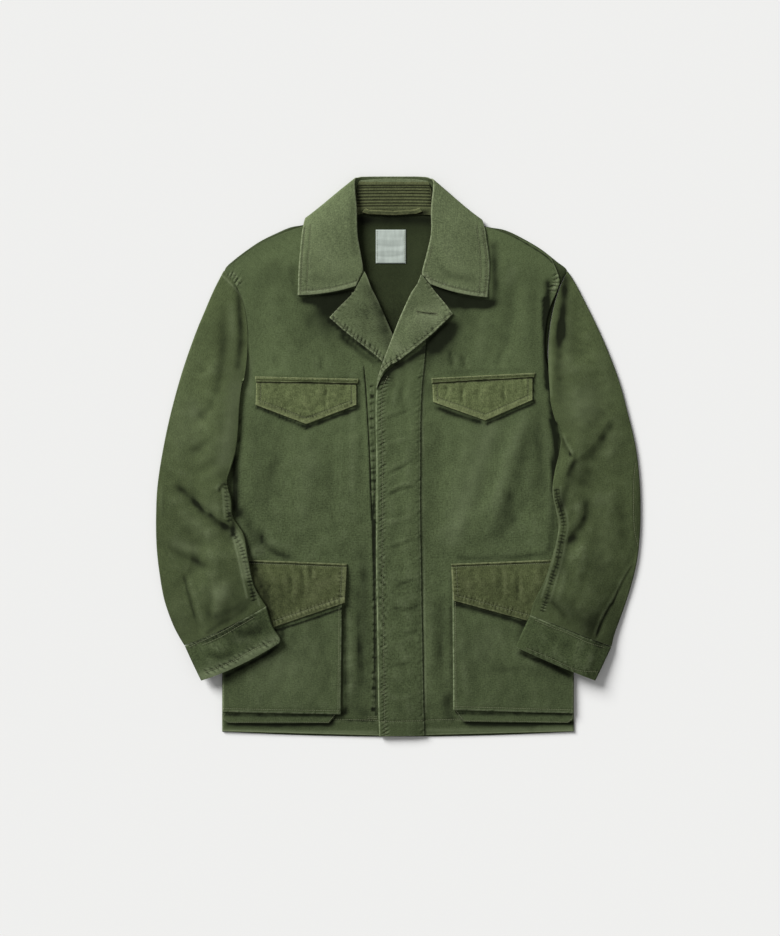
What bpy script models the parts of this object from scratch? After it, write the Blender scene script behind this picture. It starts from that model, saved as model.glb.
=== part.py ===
"""A field jacket of washed cotton twill, laid flat on its back with both sleeves brought down over the front.

Every piece that is cut and sewn is a wall of cloth of its own. A piece is a table of sections, each running
across it from edge a to edge b, and a rule for the height of its underside. What lies on a panel takes its
height from that panel, moved up by the panel's wall and a small gap.

Frame: +Z up from the surface that the jacket lies on, +Y towards the collar, +X towards the wearer's left.
The origin is on that surface, under the middle of the jacket's outline. Left and right are the wearer's.
Sizes below are in millimetres. MM turns them into Blender's metres.
"""

import math
from collections import namedtuple

import bmesh
import bpy
from mathutils import Vector

MM = 0.001

# Walls and gaps
CLOTH = 1.6  # body and sleeve cloth
GUSSET_CLOTH = 1.2  # folded bellows strips and welts
CUFF_CLOTH = 2.0  # cuffs are two layers
LABEL_CLOTH = 0.8
SEAM_GAP = 0.3  # between pieces that are sewn edge to edge
LAYER_GAP = 0.6  # between a piece and the one it lies on
AIR = 2.4  # between the fronts and the back, before the folds
SLEEVE_AIR = 2.6  # inside a sleeve, before the folds
MOST_AIR = 3.4  # between the fronts and the back, on the highest fold

# Body
HEM_Y = -392
SIDE_X = 246
UNDERLAP_X = 10  # how far the right front reaches under the left one
COLLAR_LIFT = 2.6  # the back's neck lies on the turned-down collar
FRONTS_LIFT = 1.15  # the fronts rise there by a little more than the back does
LAPEL_ROLL = 2.0  # how far a lapel stands off its front along its roll line
BODY_RISE = 5.6  # of a sleeve's underside, where it comes onto the body
POCKET_RISE = 7.0  # and further, where it comes onto the pocket

Section = namedtuple("Section", "ax ay bx by bend_x bend_y", defaults=(0, 0))
Section3 = namedtuple("Section3", "ax ay az bx by bz bend_x bend_y bend_z", defaults=(0, 0, 0))
Fold = namedtuple("Fold", "x0 y0 x1 y1 half_width height")

# Half the body's width at each height, for how its edges thin out
BODY_HALF_WIDTH = [(-392, 246), (23, 243), (96, 217), (140, 209), (205, 211), (236, 225), (262, 243)]
SHOULDER_LINE = [(60, 349), (143, 321), (199, 289), (237, 265)]

# Each section of a front runs from its left to its right in plan, from the hem up to the shoulder seam.
RIGHT_FRONT = [
    Section(-246, -384.5, UNDERLAP_X, -391.5),
    Section(-246, -341, UNDERLAP_X, -346),
    Section(-246, -257, 9, -264),
    Section(-246, -173, 8, -180),
    Section(-245, -89, 7, -96),
    Section(-244, -19, 5, -19),
    Section(-240, 29, 3, 40),
    Section(-230, 65, 0, 79),
    Section(-217.4, 102, -4, 114),
    Section(-212.7, 141, -8, 156),
    Section(-213, 180, -22.5, 202),
    Section(-217.5, 211, -39, 240, 0, 5),
    Section(-226, 233, -56, 278, -8, 12),
    Section(-235, 248, -66, 306, -22, 16),
    Section(-243.5, 259, -72, 336, -38, 16),
]
LEFT_FRONT = [
    Section(-25.4, -391.5, 246, -384.5),
    Section(-26.8, -346, 246, -341),
    Section(-27.8, -264, 246, -257),
    Section(-29.3, -180, 246, -173),
    Section(-29.4, -96, 245, -89),
    Section(-29.4, -19, 244, -19),
    Section(-30.5, 40, 240, 29),
    Section(-30.2, 79, 230, 65),
    Section(-26.8, 108, 216, 102),
    Section(-13, 148, 206.5, 141),
    Section(4, 188, 207, 180),
    Section(22, 230, 213.5, 210, 0, 4),
    Section(42, 267, 222, 230, 4, 11),
    Section(55, 303, 226, 248, 16, 17),
    Section(62, 330, 214.5, 277.5, 26, 17),
]
BACK = [
    Section(-246, -385, 246, -385, 0, -14),
    Section(-246, -257, 246, -257, 0, -8),
    Section(-245, -89, 245, -89),
    Section(-244, -19, 244, -19),
    Section(-240, 29, 240, 29),
    Section(-230, 65, 230, 65),
    Section(-215.6, 102, 215, 102),
    Section(-212.4, 141, 209.5, 141),
    Section(-212.5, 180, 212.2, 180),
    Section(-218.2, 211, 217.7, 210),
    Section(-226.6, 233.8, 224.6, 233),
    Section(-235, 248.5, 231, 248),
    Section(-242.5, 260.5, 236, 261),
    Section(-230, 274.5, 222, 273),
    Section(-196, 299, 198, 291.5),
    Section(-166, 314, 168, 308.5),
    Section(-150, 320.5, 148, 317),
    Section(-134, 323.5, 128, 320.5),
    Section(-112, 329, 104, 326.5),
    Section(-72, 346, 62, 345, 0, -8),
]
# The fly is a doubled strip sewn down the left front's free edge.
FLY = [
    Section(-26.2, -391, 37.4, -390),
    Section(-27.6, -346, 36.2, -346),
    Section(-28.6, -264, 34.8, -264),
    Section(-30.6, -150, 32.6, -150),
    Section(-30.2, -75, 31.6, -75),
    Section(-30.2, -5, 31.8, -5),
    Section(-31.3, 55, 32, 50),
    Section(-30.6, 86, 33.3, 82),
    Section(-27.4, 102, 34.6, 105),
    Section(-19, 115.5, 36.6, 124),
    Section(-6, 127, 38.5, 146),
    Section(12, 141, 40, 170),
]
# Lapels run from their lower end up to the gorge, where they meet the collar.
RIGHT_LAPEL = [
    Section(-20.5, 131.5, -6, 145),
    Section(-35.3, 144.6, -4, 157),
    Section(-54.7, 159.2, -7, 170),
    Section(-74.2, 174.7, -17, 193),
    Section(-96, 194, -28.5, 219),
    Section(-82, 209, -37, 235),
    Section(-67, 224, -41.5, 247),
    Section(-61, 230, -44, 253),
    Section(-57.8, 237, -46.5, 258),
]
LEFT_LAPEL = [
    Section(-30.8, 94, -29.6, 95.5),
    Section(-28.6, 108.6, -25.6, 110.6),
    Section(-24, 124, -18.8, 120.3),
    Section(-20.4, 134, -10.1, 128.1),
    Section(-14.5, 149.5, 0.7, 133),
    Section(-7.1, 169, 27, 153.5),
    Section(1.7, 192, 50.5, 173),
    Section(9.5, 210, 77, 199),
    Section(18, 228, 66, 213.5),
    Section(27, 241, 50.5, 231.5),
    Section(32, 254, 43.5, 240.5),
]
# The collar's leaf runs from the right notch, up the side of the neck, round the back and down to the left
# notch. Edge a is its outer edge and edge b the roll line. It turns under the shoulders at the fold sections.
COLLAR_LEAF = [
    Section3(-140, 225, 8.2, -58.5, 238.2, 9.6, 4, -6, 2),
    Section3(-139.5, 240, 8.0, -53.4, 249.6, 10.2, 0, 0, 2.5),
    Section3(-139, 255, 8.7, -48.8, 261, 11, 0, 0, 3),
    Section3(-138, 272, 9.1, -52, 283, 12.4, 0, 0, 3.5),
    Section3(-136, 294, 8.9, -56.5, 310, 13.2, 0, 0, 4),
    Section3(-133.5, 316, 8.2, -57.5, 345, 13.2, 0, 0, 3),
    Section3(-129, 332, 4.6, -60, 383, 11, 0, -1, 1),
    Section3(-120, 326, 1.7, -53, 389.5, 9, 0, 10, -2.5),
    Section3(-97, 314, 1.7, -41, 390.6, 7.6, 0, 22, -3.2),
    Section3(-55, 302, 1.7, -26, 391, 7, 0, 24, -3.5),
    Section3(-6, 300, 1.7, -6, 391, 7, 0, 24, -3.5),
    Section3(43, 302, 1.7, 15, 391, 7, 0, 24, -3.5),
    Section3(83, 313, 1.7, 31, 390.6, 7.6, 0, 22, -3.2),
    Section3(106, 324, 1.7, 42, 388.5, 9, 0, 9, -2.5),
    Section3(116.5, 330, 4.6, 49, 381.5, 11, 0, -2.5, 1),
    Section3(121.8, 315, 8.2, 46, 345, 13.2, 0, 0, 3),
    Section3(124.6, 297, 8.9, 46, 312, 13.2, 0, 0, 4),
    Section3(127.5, 276, 9.1, 40, 283, 12.4, 0, 0, 3.5),
    Section3(128, 257, 8.7, 33.5, 256.5, 11, 0, 0, 3),
    Section3(126.5, 239, 8.0, 38.5, 248.5, 10.2, 0, 0, 2.5),
    Section3(125, 222, 8.2, 45, 241, 9.6, -4, -6, 2),
]
# The stand runs from right to left round the neck, from the neck seam (a) up to the roll line (b).
COLLAR_STAND = [
    Section3(-62, 300, 5.6, -59, 298, 10.2),
    Section3(-63.5, 324, 5.6, -59, 326, 10.4),
    Section3(-58, 337, 5.8, -56, 379, 8.8, 0, 0, -0.8),
    Section3(-40, 339, 5.8, -43, 386, 8.4, 0, 0, -1),
    Section3(-6, 337.5, 5.8, -6, 388, 8.4, 0, 0, -1),
    Section3(29, 338, 5.8, 32, 386, 8.4, 0, 0, -1),
    Section3(49, 336, 5.8, 44.5, 377, 8.8, 0, 0, -0.8),
    Section3(53, 324, 5.6, 48, 324, 10.4),
    Section3(50, 298, 5.6, 47.5, 296, 10.2),
]
# Across a chest flap, from its left end to its right one: a is the sewn edge and b the free, pointed one.
RIGHT_CHEST_FLAP = [Section(-198, 104, -199, 72), Section(-128, 102.5, -128, 45), Section(-58, 101, -58, 72)]
LEFT_CHEST_FLAP = [Section(48, 102, 49, 76), Section(122, 106, 122, 50), Section(188, 110, 188, 79)]
RIGHT_CHEST_WELT = [Section(-200, 112, -199, 104.5), Section(-55, 108.5, -56, 101.5)]
LEFT_CHEST_WELT = [Section(47, 109.5, 47, 102.5), Section(192, 117, 190, 110.5)]
# Bellows pockets. The gusset is the folded strip under the face, round its two sides and foot.
RIGHT_GUSSET = [
    Section(-86, -192, -112, -192),
    Section(-86, -361, -112, -343),
    Section(-96, -373, -116, -349),
    Section(-238, -373, -218, -349),
    Section(-245, -368, -221, -343),
    Section(-245, -192, -221, -192),
]
LEFT_GUSSET = [
    Section(245, -192, 221, -192),
    Section(245, -368, 221, -343),
    Section(238, -373, 218, -349),
    Section(91, -371, 111, -347),
    Section(80, -357, 106, -341),
    Section(80, -192, 106, -192),
]
RIGHT_POCKET = [Section(-245, -357, -80, -360), Section(-245, -182, -78, -184)]
LEFT_POCKET = [Section(77, -354, 245, -359), Section(76, -184, 245, -182)]
RIGHT_POCKET_FLAP = [Section(-242, -143, -242, -262), Section(-71, -150, -74, -204)]
LEFT_POCKET_FLAP = [Section(74, -150, 77, -201), Section(242, -143, 242, -246)]
HANGER_LOOP = [
    Section(-46, 347, -50, 341),
    Section(-40, 344.5, -42, 338.5),
    Section(-6, 343, -6, 337),
    Section(24, 345, 26, 339),
    Section(30, 347.5, 34, 342),
]
LABEL = [Section(-31, 317, -31, 270), Section(11, 317, 11, 270)]

# Sleeves run from the armhole to the cuff seam. Edge a is the outer edge of the flattened tube, b the inner.
RIGHT_SLEEVE = [
    Section(-245.5, 259, -217.5, 104, 31.5, 32.5),
    Section(-257.5, 233, -220.5, 82, 16, 18),
    Section(-270, 204, -222.3, 58, 7, 9),
    Section(-284, 170, -223.3, 35, 3, 3),
    Section(-302, 118, -226.3, 8),
    Section(-318, 60, -233.5, -18),
    Section(-329, 8, -238.2, -36),
    Section(-336.5, -42, -232.6, -60),
    Section(-338.5, -88, -230.2, -84),
    Section(-337.5, -128, -215.5, -108),
    Section(-333.5, -164, -210, -134),
    Section(-327, -200, -204.5, -164),
    Section(-316, -232, -199.5, -182, 0, -2),
    Section(-306.5, -251, -190.5, -197, 0, -4),
    Section(-298.3, -264, -183.6, -208, 0, -6),
]
LEFT_SLEEVE = [
    Section(237.5, 259, 210.5, 112, -17.5, 19.5),
    Section(248.7, 241, 211.9, 91, -10, 12),
    Section(263.6, 212, 212.8, 77, -5, 7),
    Section(279.8, 179, 216, 62, -2, 2),
    Section(295.5, 143, 221, 46.5),
    Section(310.2, 102.5, 227.8, 33.5),
    Section(321.6, 60, 227.4, 21),
    Section(332, 16, 224.2, 2),
    Section(337.5, -27, 218, -25),
    Section(339.3, -68, 215.6, -50),
    Section(338.5, -107, 221, -79),
    Section(334.5, -145, 223.5, -104),
    Section(326, -181, 216, -134),
    Section(314.5, -216, 204.8, -171),
    Section(303, -247, 189.8, -201),
    Section(298.3, -265.5, 184, -220.5),
]
RIGHT_CUFF = [
    Section(-298, -264.55, -183.3, -208.55, 0, -6),
    Section(-286, -290, -174.5, -236, 0, -6),
    Section(-277, -308, -164, -253, 0, -7),
    Section(-274.5, -312.5, -165, -259.5, 0, -8),
]
LEFT_CUFF = [
    Section(298.1, -265.9, 183.8, -220.9),
    Section(286.5, -290, 174.5, -241),
    Section(277.5, -308, 166, -259.5, 0, -1),
    Section(275, -312.5, 164.5, -265.5, 0, -2),
]

# The largest folds: ridges are above zero, troughs below.
BODY_FOLDS = [
    Fold(-192, 30, -198, -100, 20, -1.1),
    Fold(-198, -92, -130, -140, 18, -1.0),
    Fold(-58, -200, -60, -330, 18, 0.9),
    Fold(-150, 230, -118, 140, 22, -1.0),
    Fold(-75, 120, -95, -60, 24, 0.8),
    Fold(60, -110, 190, -20, 20, 0.9),
    Fold(80, -140, 200, -60, 20, -1.0),
    Fold(132, 160, 178, 255, 20, -1.0),
    Fold(196, 60, 200, -90, 18, -1.0),
    Fold(58, -200, 57, -330, 18, 0.9),
]
RIGHT_SLEEVE_FOLDS = [
    Fold(-318, -30, -222, -112, 13, -2.0),
    Fold(-312, -62, -232, -128, 13, 0.9),
    Fold(-300, 10, -232, -58, 15, 0.8),
    Fold(-252, 108, -280, 52, 14, -1.4),
    Fold(-262, 200, -246, 110, 13, 0.9),
    Fold(-326, -120, -246, -146, 16, -1.4),
    Fold(-300, -176, -278, -243, 9, -1.1),
]
LEFT_SLEEVE_FOLDS = [
    Fold(234, 20, 246, 0, 9, -1.2),
    Fold(252, 4, 292, 60, 16, -1.4),
    Fold(262, -32, 252, -104, 14, -2.0),
    Fold(280, 20, 300, -90, 18, 0.9),
    Fold(250, -112, 228, -140, 10, -1.5),
    Fold(246, 190, 262, 90, 13, -1.4),
    Fold(328, -150, 272, -254, 9, -1.6),
]


def smooth(t):
    """0 below zero, 1 above one, and an even slope between."""
    t = min(1.0, max(0.0, t))
    return t * t * (3 - 2 * t)


def lookup(table, at):
    """The value at a place in a short table of (place, value) rows, straight between them."""
    if at <= table[0][0]:
        return table[0][1]
    for (low, first), (high, last) in zip(table, table[1:]):
        if at <= high:
            return first + (last - first) * (at - low) / (high - low)
    return table[-1][1]


def fold_height(folds, x, y):
    """All the folds' heights at a point. A fold dies away across its width and towards its ends."""
    total = 0.0
    for fold in folds:
        run = Vector((fold.x1 - fold.x0, fold.y1 - fold.y0))
        reach = Vector((x - fold.x0, y - fold.y0))
        along = reach.dot(run) / run.length_squared
        off = abs(reach.cross(run)) / run.length
        if -0.3 < along < 1.3 and off < 3 * fold.half_width:
            fade = smooth((along + 0.3) / 0.45) * smooth((1.3 - along) / 0.45)
            total += fold.height * fade * math.exp(-((off / fold.half_width) ** 2))
    return total


# Heights of the undersides, from the surface that the jacket lies on


def back_under(x, y):
    return COLLAR_LIFT * smooth((y - 180) / 115) * smooth((245 - abs(x + 8)) / 110)


def air_under_fronts(x, y):
    side = lookup(BODY_HALF_WIDTH, y) - abs(x)
    shoulder = lookup(SHOULDER_LINE, abs(x)) - y
    inside = smooth(side / 70) * smooth((y - HEM_Y) / 60) * smooth(shoulder / 60)
    return min(MOST_AIR, max(0.0, (AIR + fold_height(BODY_FOLDS, x, y)) * inside))


def right_front_under(x, y):
    return FRONTS_LIFT * back_under(x, y) + CLOTH + SEAM_GAP + air_under_fronts(x, y)


def left_front_under(x, y):
    over_right_front = (CLOTH + LAYER_GAP) * (1 - smooth((x - UNDERLAP_X - 2) / 34))
    over_right_lapel = (CLOTH + LAYER_GAP) * math.exp(-(((x + 12) ** 2 + (y - 150) ** 2) / 50**2))
    return right_front_under(x, y) + over_right_front + over_right_lapel


def on_right_front(x, y):
    return right_front_under(x, y) + CLOTH + LAYER_GAP


def on_left_front(x, y):
    return left_front_under(x, y) + CLOTH + LAYER_GAP


def right_lapel_under(x, y):
    roll = max(0.0, -14 - x) - 0.38 * (y - 146)
    return on_right_front(x, y) + LAPEL_ROLL * smooth((y - 170) / 80) * (1 - smooth(roll / 30))


def left_lapel_under(x, y):
    over_fly = (CLOTH + LAYER_GAP) * (1 - smooth((y - 186) / 24))
    roll = x + 14 - 0.43 * (y - 132)
    return on_left_front(x, y) + over_fly + LAPEL_ROLL * smooth((y - 190) / 60) * (1 - smooth(roll / 30))


def fronts_by_side(x, y):
    return on_right_front(x, y) if x < 0 else on_left_front(x, y)


def pocket_face_under(x, y):
    return fronts_by_side(x, y) + GUSSET_CLOTH + LAYER_GAP


def pocket_flap_under(x, y):
    over_pocket = GUSSET_CLOTH + CLOTH + 2 * LAYER_GAP
    return fronts_by_side(x, y) + over_pocket * smooth((-146 - y) / 32)


def label_under(x, y):
    return back_under(x, y) + CLOTH + SEAM_GAP


def hanger_under(x, y):
    over_stand = GUSSET_CLOTH + 2 * SEAM_GAP
    return back_under(x, y) + CLOTH + LAYER_GAP + over_stand * smooth((y - 331) / 7)


def sleeve_under(x, y):
    """The floor outside the body, and the fronts and pockets inside it, with a slope between."""
    on_body = BODY_RISE * smooth((162 - y) / 50)
    on_pocket = POCKET_RISE * smooth((-112 - y) / 30)
    slope = 40 + 34 * smooth((-140 - y) / 80)
    return 0.05 + (on_body + on_pocket) * (1 - smooth((abs(x) - SIDE_X - 3) / slope))


# Making solids


def catmull_rom(p0, p1, p2, p3, t):
    return 0.5 * (
        2 * p1 + (p2 - p0) * t + (2 * p0 - 5 * p1 + 4 * p2 - p3) * t * t + (3 * p1 - p0 - 3 * p2 + p3) * t**3
    )


def section_at(table, v, curved):
    """The section at v from 0, the table's first row, to 1, its last."""
    place = v * (len(table) - 1)
    i = min(int(place), len(table) - 2)
    t = place - i
    p1, p2 = table[i], table[i + 1]
    if not curved:
        return type(p1)(*(a + (b - a) * t for a, b in zip(p1, p2)))
    p0, p3 = table[max(i - 1, 0)], table[min(i + 2, len(table) - 1)]
    return type(p1)(*(catmull_rom(*four, t) for four in zip(p0, p1, p2, p3)))


def point_on(section, u):
    """The point at u from edge a to edge b, on the arc that bends the section sideways or up."""
    bow = 2 * u * (1 - u)
    x = section.ax + (section.bx - section.ax) * u + bow * section.bend_x
    y = section.ay + (section.by - section.ay) * u + bow * section.bend_y
    if isinstance(section, Section):
        return x, y
    return x, y, section.az + (section.bz - section.az) * u + bow * section.bend_z


def cloth_material(name, colour, roughness=0.85):
    material = bpy.data.materials.new(name)
    material.use_nodes = True
    shader = material.node_tree.nodes["Principled BSDF"]
    shader.inputs["Base Color"].default_value = (*colour, 1)
    shader.inputs["Roughness"].default_value = roughness
    shader.inputs["Metallic"].default_value = 0
    return material


def add_to_jacket(name, mesh, material):
    mesh.materials.append(material)
    piece = bpy.data.objects.new(name, mesh)
    jacket.objects.link(piece)
    piece.parent = lying
    mesh.shade_smooth()
    mesh.set_sharp_from_angle(angle=math.radians(50))
    return piece


def cloth_sheet(name, table, cells, material, under=None, wall=CLOTH, curved=False):
    """A sheet of cloth over a table of sections. cells are its faces across and along. Its wall grows from
    the underside, which the rule gives, or the sections' own heights."""
    sheet = bmesh.new()
    bmesh.ops.create_grid(sheet, x_segments=cells[0], y_segments=cells[1], size=0.5)
    for vert in sheet.verts:
        point = point_on(section_at(table, vert.co.y + 0.5, curved), vert.co.x + 0.5)
        height = point[2] if under is None else under(point[0], point[1])
        vert.co = Vector((point[0], point[1], height)) * MM
    mesh = bpy.data.meshes.new(name)
    sheet.to_mesh(mesh)
    sheet.free()
    piece = add_to_jacket(name, mesh, material)
    thicken = piece.modifiers.new("wall", "SOLIDIFY")
    thicken.thickness = wall * MM
    thicken.offset = 1
    return piece


def flattened_ring(section, folds, wall, air, count):
    """One ring round a flattened tube of cloth: its outer and its inner points, in millimetres. The foot
    of the ring lies on what is under it, and the folds press or lift its upper side only."""
    half_width = math.hypot(section.bx - section.ax, section.by - section.ay) / 2
    outer, inner = [], []
    for i in range(count):
        turn = 2 * math.pi * i / count
        across = math.copysign(abs(math.cos(turn)) ** 0.6, math.cos(turn))
        up = math.copysign(abs(math.sin(turn)) ** 0.5, math.sin(turn))
        for ring, inset in ((outer, 0), (inner, wall)):
            x, y = point_on(section, (1 + across * (half_width - inset) / half_width) / 2)
            half_height = wall + air / 2
            z = sleeve_under(x, y) + half_height + up * (half_height - inset)
            ring.append(Vector((x, y, z + max(0.0, up) * fold_height(folds, x, y))))
    return outer, inner


def cloth_tube(name, table, rings, count, material, folds=(), wall=CLOTH, air=SLEEVE_AIR):
    """A flattened tube of cloth, open at both ends: a loft through rings, with an inner skin and two rims."""
    tube = bmesh.new()
    loops = []
    for row in range(rings + 1):
        section = section_at(table, row / rings, curved=True)
        skins = flattened_ring(section, folds, wall, air, count)
        loops.append([[tube.verts.new(point * MM) for point in skin] for skin in skins])
    for i in range(count):
        j = (i + 1) % count
        for (outer, inner), (next_outer, next_inner) in zip(loops, loops[1:]):
            tube.faces.new((outer[i], outer[j], next_outer[j], next_outer[i]))
            tube.faces.new((inner[j], inner[i], next_inner[i], next_inner[j]))
        for outer, inner in (loops[0], loops[-1]):
            tube.faces.new((outer[i], inner[i], inner[j], outer[j]))
    bmesh.ops.recalc_face_normals(tube, faces=tube.faces)
    mesh = bpy.data.meshes.new(name)
    tube.to_mesh(mesh)
    tube.free()
    return add_to_jacket(name, mesh, material)


for leftover in list(bpy.data.objects):
    bpy.data.objects.remove(leftover)

jacket = bpy.data.collections.new("field_jacket")
bpy.context.scene.collection.children.link(jacket)
lying = bpy.data.objects.new("lying_on_its_back", None)
jacket.objects.link(lying)

body_twill = cloth_material("body_twill", (0.105, 0.135, 0.062))
trim_twill = cloth_material("trim_twill", (0.145, 0.165, 0.068))
neck_twill = cloth_material("neck_twill", (0.06, 0.072, 0.038))
label_satin = cloth_material("label_satin", (0.62, 0.68, 0.64), roughness=0.6)

cloth_sheet("back", BACK, (18, 24), body_twill, back_under, curved=True)
cloth_sheet("front_right", RIGHT_FRONT, (15, 32), body_twill, right_front_under, curved=True)
cloth_sheet("front_left", LEFT_FRONT, (15, 32), body_twill, left_front_under, curved=True)
cloth_sheet("fly", FLY, (3, 24), body_twill, on_left_front, curved=True)

cloth_sheet("lapel_right", RIGHT_LAPEL, (5, 12), body_twill, right_lapel_under)
cloth_sheet("lapel_left", LEFT_LAPEL, (5, 12), body_twill, left_lapel_under)
cloth_sheet("collar_leaf", COLLAR_LEAF, (6, 40), body_twill, curved=True)
cloth_sheet("collar_stand", COLLAR_STAND, (3, 24), neck_twill, wall=GUSSET_CLOTH, curved=True)
cloth_sheet("hanger_loop", HANGER_LOOP, (1, 12), neck_twill, hanger_under, wall=GUSSET_CLOTH)
cloth_sheet("neck_label", LABEL, (4, 4), label_satin, label_under, wall=LABEL_CLOTH)

for side, welt, flap, gusset, pocket, pocket_flap in (
    ("right", RIGHT_CHEST_WELT, RIGHT_CHEST_FLAP, RIGHT_GUSSET, RIGHT_POCKET, RIGHT_POCKET_FLAP),
    ("left", LEFT_CHEST_WELT, LEFT_CHEST_FLAP, LEFT_GUSSET, LEFT_POCKET, LEFT_POCKET_FLAP),
):
    cloth_sheet("chest_welt_" + side, welt, (1, 8), trim_twill, fronts_by_side, wall=GUSSET_CLOTH)
    cloth_sheet("chest_flap_" + side, flap, (4, 8), trim_twill, fronts_by_side)
    cloth_sheet("pocket_gusset_" + side, gusset, (2, 25), body_twill, fronts_by_side, wall=GUSSET_CLOTH)
    cloth_sheet("pocket_face_" + side, pocket, (8, 9), body_twill, pocket_face_under)
    cloth_sheet("pocket_flap_" + side, pocket_flap, (6, 12), trim_twill, pocket_flap_under)

cloth_tube("sleeve_right", RIGHT_SLEEVE, 26, 20, body_twill, RIGHT_SLEEVE_FOLDS)
cloth_tube("sleeve_left", LEFT_SLEEVE, 26, 20, body_twill, LEFT_SLEEVE_FOLDS)
cloth_tube("cuff_right", RIGHT_CUFF, 3, 22, body_twill, wall=CUFF_CLOTH)
cloth_tube("cuff_left", LEFT_CUFF, 3, 22, body_twill, wall=CUFF_CLOTH)
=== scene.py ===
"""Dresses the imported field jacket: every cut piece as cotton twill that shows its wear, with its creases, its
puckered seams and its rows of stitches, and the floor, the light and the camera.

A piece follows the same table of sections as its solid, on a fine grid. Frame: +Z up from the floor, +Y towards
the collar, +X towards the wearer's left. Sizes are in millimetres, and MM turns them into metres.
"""

import math
from collections import namedtuple

import bmesh
import bpy
import numpy as np
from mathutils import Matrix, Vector
from mathutils.bvhtree import BVHTree


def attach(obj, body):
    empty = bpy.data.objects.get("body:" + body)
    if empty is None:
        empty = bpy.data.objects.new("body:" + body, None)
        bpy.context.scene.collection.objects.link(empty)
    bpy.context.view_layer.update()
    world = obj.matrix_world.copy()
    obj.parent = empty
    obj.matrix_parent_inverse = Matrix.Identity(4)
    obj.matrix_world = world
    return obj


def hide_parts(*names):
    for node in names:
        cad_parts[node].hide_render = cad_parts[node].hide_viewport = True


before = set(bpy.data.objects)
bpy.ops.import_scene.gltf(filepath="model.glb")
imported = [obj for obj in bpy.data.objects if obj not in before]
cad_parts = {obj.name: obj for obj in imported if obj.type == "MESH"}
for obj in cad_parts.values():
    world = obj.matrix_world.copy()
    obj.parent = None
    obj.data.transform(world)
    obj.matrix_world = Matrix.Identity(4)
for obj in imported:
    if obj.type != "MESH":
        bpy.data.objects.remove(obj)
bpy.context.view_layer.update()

MM = 0.001

# Cloth
BODY_RELIEF = 1.7  # how far the creases stand out
SLEEVE_RELIEF = 1.7
PIECE_RELIEF = 1.5
PUCKER = 0.9  # how far the puckers do
PUFF = 5.0  # a sleeve's upper side stands this much fuller along its middle than its solid
HOLLOW_REACH = 6  # how far round a point its level is taken for its hollow
NARROW_SHADE = 3.9  # up to this half width a shade doesn't fade towards its ends
TWILL_RIB = 0.00125  # between the ribs, in metres
LABEL_RIB = 0.0007

# Grids and rows
EDGE_CELL = 0.7  # the narrow cell along each edge of a sheet
MEASURES = 40  # places along a piece where its size is taken
EDGE_POINTS = 90  # in the path of a row along an edge
UPPER_SKIN = 0.008  # a sleeve's skin above this height, in metres, is its upper side
STITCH = 3.1  # from one stitch to the next
THREAD = 0.24  # half its thickness
BAR_PITCH = 0.9  # between the threads of a bar tack
ABOVE_ALL = 0.06  # thread is let down onto a piece from here, in metres

# Floor, light and camera
FLOOR_REACH = 6  # from its middle to its edges, in metres
WINDOW_FROM = (-0.62, 0.60, 0.50)  # the way to the light
CAMERA_PLACE = (-0.0112, -0.0161, 3.094)  # it looks straight down

# Walls and gaps
CLOTH = 1.6  # body and sleeve cloth
GUSSET_CLOTH = 1.2  # folded bellows strips and welts
CUFF_CLOTH = 2.0  # cuffs are two layers
LABEL_CLOTH = 0.8
SEAM_GAP = 0.3  # between pieces that are sewn edge to edge
LAYER_GAP = 0.6  # between a piece and the one it lies on
AIR = 2.4  # between the fronts and the back, before the folds
SLEEVE_AIR = 2.6  # inside a sleeve, before the folds

# Body
HEM_Y = -392
SIDE_X = 246
UNDERLAP_X = 10  # how far the right front reaches under the left one
COLLAR_LIFT = 2.6  # the back's neck lies on the turned-down collar
FRONTS_LIFT = 1.15  # the fronts rise there by a little more than the back does
LAPEL_ROLL = 2.0  # how far a lapel stands off its front along its roll line
BODY_RISE = 5.6  # of a sleeve's underside, where it comes onto the body
POCKET_RISE = 7.0  # and further, where it comes onto the pocket


def sections(axes, *rows):
    """A table of sections. Each runs from its point on edge a to its point on edge b, by two axes in plan or three
    in space, and bends between them by as much as the last numbers say, if there are any."""
    return np.array([row + (0,) * (3 * axes - len(row)) for row in rows], float)


# Half the body's width at each height, for how its edges thin out
BODY_HALF_WIDTH = [(-392, 246), (23, 243), (96, 217), (140, 209), (205, 211), (236, 225), (262, 243)]
SHOULDER_LINE = [(60, 349), (143, 321), (199, 289), (237, 265)]

# Each section of a front runs from its left to its right in plan, from the hem up to the shoulder seam.
RIGHT_FRONT = sections(2,
    (-246, -384.5, UNDERLAP_X, -391.5), (-246, -341, UNDERLAP_X, -346), (-246, -257, 9, -264), (-246, -173, 8, -180),
    (-245, -89, 7, -96), (-244, -19, 5, -19), (-240, 29, 3, 40), (-230, 65, 0, 79), (-217.4, 102, -4, 114),
    (-212.7, 141, -8, 156), (-213, 180, -22.5, 202), (-217.5, 211, -39, 240, 0, 5), (-226, 233, -56, 278, -8, 12),
    (-235, 248, -66, 306, -22, 16), (-243.5, 259, -72, 336, -38, 16),
)
LEFT_FRONT = sections(2,
    (-25.4, -391.5, 246, -384.5), (-26.8, -346, 246, -341), (-27.8, -264, 246, -257), (-29.3, -180, 246, -173),
    (-29.4, -96, 245, -89), (-29.4, -19, 244, -19), (-30.5, 40, 240, 29), (-30.2, 79, 230, 65),
    (-26.8, 108, 216, 102), (-13, 148, 206.5, 141), (4, 188, 207, 180), (22, 230, 213.5, 210, 0, 4),
    (42, 267, 222, 230, 4, 11), (55, 303, 226, 248, 16, 17), (62, 330, 214.5, 277.5, 26, 17),
)
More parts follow.
